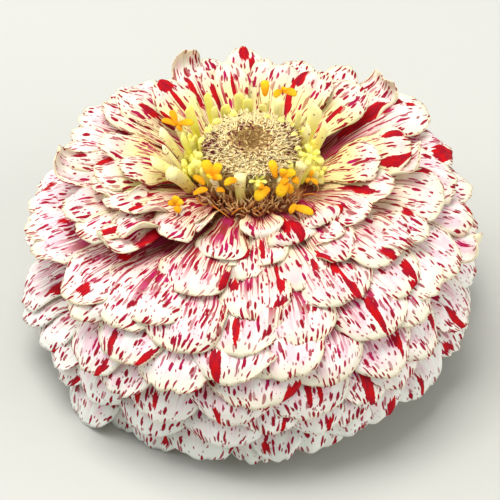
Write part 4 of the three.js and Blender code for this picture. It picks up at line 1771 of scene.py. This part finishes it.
@dataclass
class FloretRing:
    """Everything that stands between the disc and the petals: florets, buds, straps and withered tubes.

    A stub has a height over the base and a radius; withered tubes have a middle azimuth, how far they spread
    to each side of it, and a height.
    """

    view: View
    ring_radius: float = 9.9
    foot_limit: float = 12.2
    base_z: float = 37.9
    lobe_arch: float = 0.8
    stub_count: int = 150
    stub_start: float = -22.0
    stub_arc: float = 224.0
    stub_radius: float = 9.1
    stub_belt: float = 3.6
    thick_stub: tuple[float, float] = (4.4, 1.1)
    thin_stub: tuple[float, float] = (6.6, 0.5)
    withered_count: int = 330
    withered_front_share: float = 0.8
    withered_front: tuple[float, float, float] = (-95.0, 52.0, 4.6)
    withered_back: tuple[float, float, float] = (90.0, 150.0, 2.6)
    withered_radius: float = 8.8
    withered_belt: float = 3.4
    style_radius: float = 0.17

    def build(self) -> None:
        """Model the ring."""
        lobes, limes, creams, dried, styles = Spray(), Spray(), Spray(), Spray(), Spray()
        for lobe in OPEN_LOBES:
            self._lobe(lobes, lobe)
        for index, mouth in enumerate(CLOSED_BUDS):
            section = Section(mouth.radius, Swell.BUD, sides=8, steps=10)
            self._stand(limes, mouth, section, 0.6 + 0.4 * draw(index, 81))
        for index, mouth in enumerate(CREAM_TUBES):
            section = Section(mouth.radius, Swell.TUBE, sides=10, steps=10)
            self._stand(creams, mouth, section, draw(index, 82))
        for index, mouth in enumerate(LIME_STARS):
            self._star(limes, index, mouth)
        for index, mouth in enumerate(LIME_STRAPS + CREAM_STRAPS):
            section = Section(mouth.radius, Swell.STRAP, 0.16, -0.4, 14, 14)
            self._stand(limes if index < len(LIME_STRAPS) else creams, mouth, section, draw(index, 83))
        for index in range(self.stub_count):
            self._stub(limes, index)
        for index in range(self.withered_count):
            self._withered(dried, index)
        for index, points in enumerate(STYLE_LOOPS):
            route = Route(*(self.view.at_height(*point) for point in points))
            section = Section(self.style_radius, Swell.TAPER, sides=6, steps=12)
            styles.add(route, section, draw(index, 111), UP)
        settle(lobes.finish("open_lobes", LOBES.paint()), "open_florets", "yellow_florets")
        settle(limes.finish("lime_tubes", LIME.paint()), "quills", "quilled_florets", "yellow_florets")
        settle(creams.finish("cream_straps", CREAM.paint()), "quills", "quilled_florets")
        settle(dried.finish("withered_tubes", WITHERED.paint()), "disc_chaff")
        settle(styles.finish("curled_styles", STYLES.paint()), "open_florets")

    def _stand(self, spray: Spray, mouth: Mouth, section: Section, chance: float) -> Route:
        """Add one upright tube, bud or strap that ends at its mouth.

        Args:
            spray: The mesh that it joins.
            mouth: Its mouth.
            section: Its cross section.
            chance: What its finish reads.

        Returns:
            Its midline.
        """
        target = self.view.at_height(mouth.across, mouth.down, mouth.height)
        azimuth = azimuth_of(target)
        reach = min(self.foot_limit, max(self.ring_radius - 0.8, math.hypot(target.x, target.y) * 0.8))
        foot = polar(azimuth, reach, self.base_z - 0.5)
        route = Route(foot, foot.lerp(target, 0.45) + UP * 1.6, target)
        spray.add(route, section, chance, radial(azimuth)[1])
        return route

    def _lobe(self, spray: Spray, lobe: Lobe) -> None:
        """Add one fleshy lobe of an open floret, arched between its root and its tip.

        Args:
            spray: The mesh that it joins.
            lobe: Its place and size.
        """
        root = self.view.at_height(*lobe.root, lobe.root_height)
        tip = self.view.at_height(*lobe.tip, lobe.tip_height)
        bend = root.lerp(tip, 0.5) + Vector((0.0, -0.2, self.lobe_arch))
        across = (tip - root).cross(Vector((0.0, -0.4, 1.0))).normalized()
        section = Section(lobe.width / 2, Swell.TONGUE, 0.42, -0.2, 8, 10)
        spray.add(Route(root, bend, tip), section, lobe.chance, across)

    def _star(self, spray: Spray, index: int, mouth: Mouth) -> None:
        """Add a tube with a small mouth of five blunt lobes.

        Args:
            spray: The mesh that it joins.
            index: Its number.
            mouth: Its mouth.
        """
        size = mouth.radius
        route = self._stand(spray, mouth, Section(size * 0.75, Swell.TUBE, sides=8, steps=8), 0.5)
        aim = route.heading(1.0)
        first = aim.orthogonal().normalized()
        for number in range(index * 5, index * 5 + 5):
            outward = first.copy()
            turn = 72 * (number - index * 5) + spread(number, 84, 12)
            outward.rotate(Matrix.Rotation(math.radians(turn), 3, aim))
            start = route.end + outward * size * 0.3 - aim * 0.3
            bend = start + outward * size * 0.7 + aim * 0.7
            end = start + outward * size * (1.2 + spread(number, 85, 0.15)) + aim * 0.1
            section = Section(size * 0.36, Swell.TONGUE, 0.3, -0.2, 8, 6)
            spray.add(Route(start, bend, end), section, 0.6 + 0.3 * draw(number, 87), aim.cross(outward))

    def _stub(self, spray: Spray, index: int) -> None:
        """Add one short lime stub among the florets beside and behind the disc; every third is thick.

        Args:
            spray: The mesh that it joins.
            index: Its number.
        """
        azimuth = self.stub_start + self.stub_arc * (index + 0.5) / self.stub_count + spread(index, 91, 3)
        tall, thick = self.thick_stub if index % 3 == 0 else self.thin_stub
        reach = self.stub_radius + self.stub_belt * draw(index, 92)
        height = self.base_z + tall - 0.9 * (reach - 9) - 2.2 * draw(index, 93)
        foot = polar(azimuth, reach, self.base_z - 0.6)
        top = polar(azimuth, reach + 0.5 + 1.2 * draw(index, 94), height)
        section = Section(thick + 0.35 * draw(index, 95), Swell.BUD, 0.8, 0.0, 6, 6)
        spray.add(Route(foot, foot.lerp(top, 0.5), top), section, draw(index, 96), radial(azimuth)[1])

    def _withered(self, spray: Spray, index: int) -> None:
        """Add one dry thread between the disc and the petals, most of them in front.

        Args:
            spray: The mesh that it joins.
            index: Its number.
        """
        front = index < self.withered_count * self.withered_front_share
        middle, around, tall = self.withered_front if front else self.withered_back
        azimuth = middle + spread(index, 101, around)
        reach = self.withered_radius + self.withered_belt * draw(index, 102)
        foot = polar(azimuth, reach, self.base_z - 0.6)
        lower = 1 - (reach - self.withered_radius) / 6.6
        height = self.base_z + tall * lower * (0.5 + 0.7 * draw(index, 103))
        top = polar(azimuth + spread(index, 104, 9), reach + 0.6 + 1.4 * draw(index, 105), height)
        bend = foot.lerp(top, 0.5) + Vector((spread(index, 106, 1.1), spread(index, 107, 1.1), 0.6))
        section = Section(0.12 + 0.2 * draw(index, 108), Swell.TAPER, 0.8, 0.0, 4, 6)
        stain = 1.0 if draw(index, 110) < 0.3 else 0.0
        spray.add(Route(foot, bend, top), section, draw(index, 109), radial(azimuth)[1], stain)


@dataclass(frozen=True)
class GreenFinish:
    """Leaf green, with dark dry margins on the bracts."""

    name: str
    dark: Colour = "5f7a38"
    light: Colour = "8fa65a"
    dry: Colour = "2c2416"
    root: Colour = "b7c98a"
    grain_scale: float = 260.0
    roughness: float = 0.65
    relief: float = 0.2
    margin: bool = False

    def paint(self) -> Material:
        """Mix the finish.

        Returns:
            The material.
        """
        bench = Bench(self.name)
        grain = bench.speckle(self.grain_scale)
        colour = bench.coats(self.dark, (grain, self.light))
        if self.margin:
            u, v, _ = bench.parts("petal_shape")
            edge = abs(u).rise(0.78, 0.98).at_least(v.rise(0.86, 0.97))
            colour = bench.coats(colour, (edge * 0.9, self.dry), (v.fall(0.2, 0.8) * 0.3, self.root))
        return bench.dress(colour, self.roughness, grain, self.relief)


CUP_GREEN = GreenFinish("cup_green")
BRACT_GREEN = GreenFinish("bract_green", margin=True)
STEM_GREEN = GreenFinish("stem_green", "4f6b2c", "7f9a4e", grain_scale=400.0, roughness=0.6, relief=0.15)


@dataclass
class Calyx:
    """The cup of overlapping bracts and the stem under it.

    A row of bracts gives their count, the radius and height of their root, bend and tip, and their width.
    """

    stem_radius: float = 2.7
    cup_base_z: float = 3.2
    bract_thickness: float = 0.55
    bristle_count: int = 260
    bristle_radius: float = 0.035
    rows: tuple[tuple[int, Profile, Profile, Profile, float], ...] = (
        (9, (4.6, 4.4), (9.4, 4.6), (11.1, 8.4), 6.4),
        (12, (8.6, 7.0), (12.6, 9.0), (13.8, 12.6), 6.6),
    )

    def build(self) -> None:
        """Model the cup, the bracts, the stem and its bristles."""
        outside = [(0.0, self.cup_base_z), (3.6, self.cup_base_z), (7.6, 4.9), (11.2, 8.4), (12.6, 12.0)]
        inside = [(11.9, 12.2), (9.9, 9.45), (5.15, 6.3), (0.0, 6.3)]
        settle(turned("cup", outside + inside, 56, CUP_GREEN.paint()), "bracts", "involucre")
        growth = Growth()
        growth.add_blades(self._bracts(), 12, 14, 0.0)
        green = BRACT_GREEN.paint()
        settle(growth.sheet("bract_rows", self.bract_thickness, green, green), "bracts", "involucre")
        self._stem()

    def _bracts(self) -> list[Blade]:
        """Lay the bracts, each row turned by half a bract.

        Returns:
            The bracts.
        """
        shape = {"claw": 0.8, "tip_round": 0.2, "arch": 0.16, "twist": 0.0}
        habit = Habit(wave=0.15, pleat=0.1, dent=0.2)
        bracts = []
        for row, (count, root, bend, tip, width) in enumerate(self.rows):
            for index in range(count):
                number = FIRST_BRACT + BRACT_ROW_STRIDE * row + index
                azimuth = (index + row / 2) * 360 / count
                bracts.append(Blade(number, azimuth, root, bend, tip, width, **shape, habit=habit))
        return bracts

    def _stem(self) -> None:
        """Model the stem with its cut end and its bristles."""
        radius, top = self.stem_radius, self.cup_base_z - 0.3
        profile = [(0.0, 0.0), (radius - 0.3, 0.0), (radius, 0.25), (radius, top - 0.6), (radius + 0.5, top)]
        settle(turned("stem_stalk", [*profile, (0.0, top)], 48, STEM_GREEN.paint()), "stem", "stem")
        spray = Spray()
        for index in range(self.bristle_count):
            azimuth = index * GOLDEN_ANGLE
            height = 0.3 + 2.2 * draw(index, 121)
            reach = radius + 0.5 + 0.4 * draw(index, 123)
            start = polar(azimuth, radius - 0.05, height)
            end = polar(azimuth + spread(index, 122, 8), reach, height + 0.25)
            section = Section(self.bristle_radius, Swell.TAPER, sides=3, steps=2)
            spray.add(Route(start, start.lerp(end, 0.5), end), section, draw(index, 124), radial(azimuth)[1])
        settle(spray.finish("stem_bristles", BRISTLES.paint()), "stem")


@dataclass
class Studio:
    """A pale floor under soft lights; sizes and places are metres here, and power is watts."""

    floor_size: float = 4.0
    floor: Colour = "c9cbc7"
    floor_speck: Colour = "babcb8"
    sky: Colour = "f4f4f2"
    sky_strength: float = 0.46
    lights: tuple[tuple[str, Point, float, float, Colour], ...] = (
        ("key", (-0.16, 0.12, 1.0), 0.6, 9.0, "fffbf5"),
        ("side", (-0.95, 0.08, 0.62), 0.8, 4.9, "ffffff"),
        ("fill", (1.0, -0.32, 0.5), 0.9, 5.5, "fffdf8"),
    )

    def build(self) -> None:
        """Make the floor, the lights and the sky."""
        mesh = bmesh.new()
        bmesh.ops.create_grid(mesh, x_segments=1, y_segments=1, size=self.floor_size / 2)
        bench = Bench("studio_floor")
        colour = bench.coats(self.floor, (bench.speckle(60.0) * 0.05, self.floor_speck))
        floor = to_object("floor", mesh, bench.dress(colour, 0.85))
        for light in self.lights:
            self._light(*light)
        world = bpy.data.worlds.new("sky")
        world.use_nodes = True
        background = world.node_tree.nodes["Background"]
        background.inputs["Color"].default_value = tint(self.sky)
        background.inputs["Strength"].default_value = self.sky_strength
        bpy.context.scene.world = world
        bpy.context.scene.view_settings.view_transform = "Standard"

    @staticmethod
    def _light(name: str, place: Point, size: float, power: float, colour: Colour) -> None:
        """Hang one soft square light that faces the flower.

        Args:
            name: Its name.
            place: Where it hangs.
            size: Its side.
            power: Its power.
            colour: Its colour.
        """
        data = bpy.data.lights.new(name, "AREA")
        data.size = size
        data.energy = power
        data.color = tint(colour)[:3]
        light = bpy.data.objects.new(name, data)
        light.location = place
        light.rotation_euler = Vector(place).to_track_quat("Z", "Y").to_euler()
        bpy.context.scene.collection.objects.link(light)


def main() -> None:
    """Build the flower and its studio."""
    logging.basicConfig(level=logging.INFO, format="%(name)s: %(message)s")
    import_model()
    view = View()
    view.build()
    Studio().build()
    Heart().build()
    Bloom(RayPlan(Dome(), view)).build()
    Disc().build()
    FloretRing(view).build()
    Calyx().build()


if __name__ == "__main__":
    main()
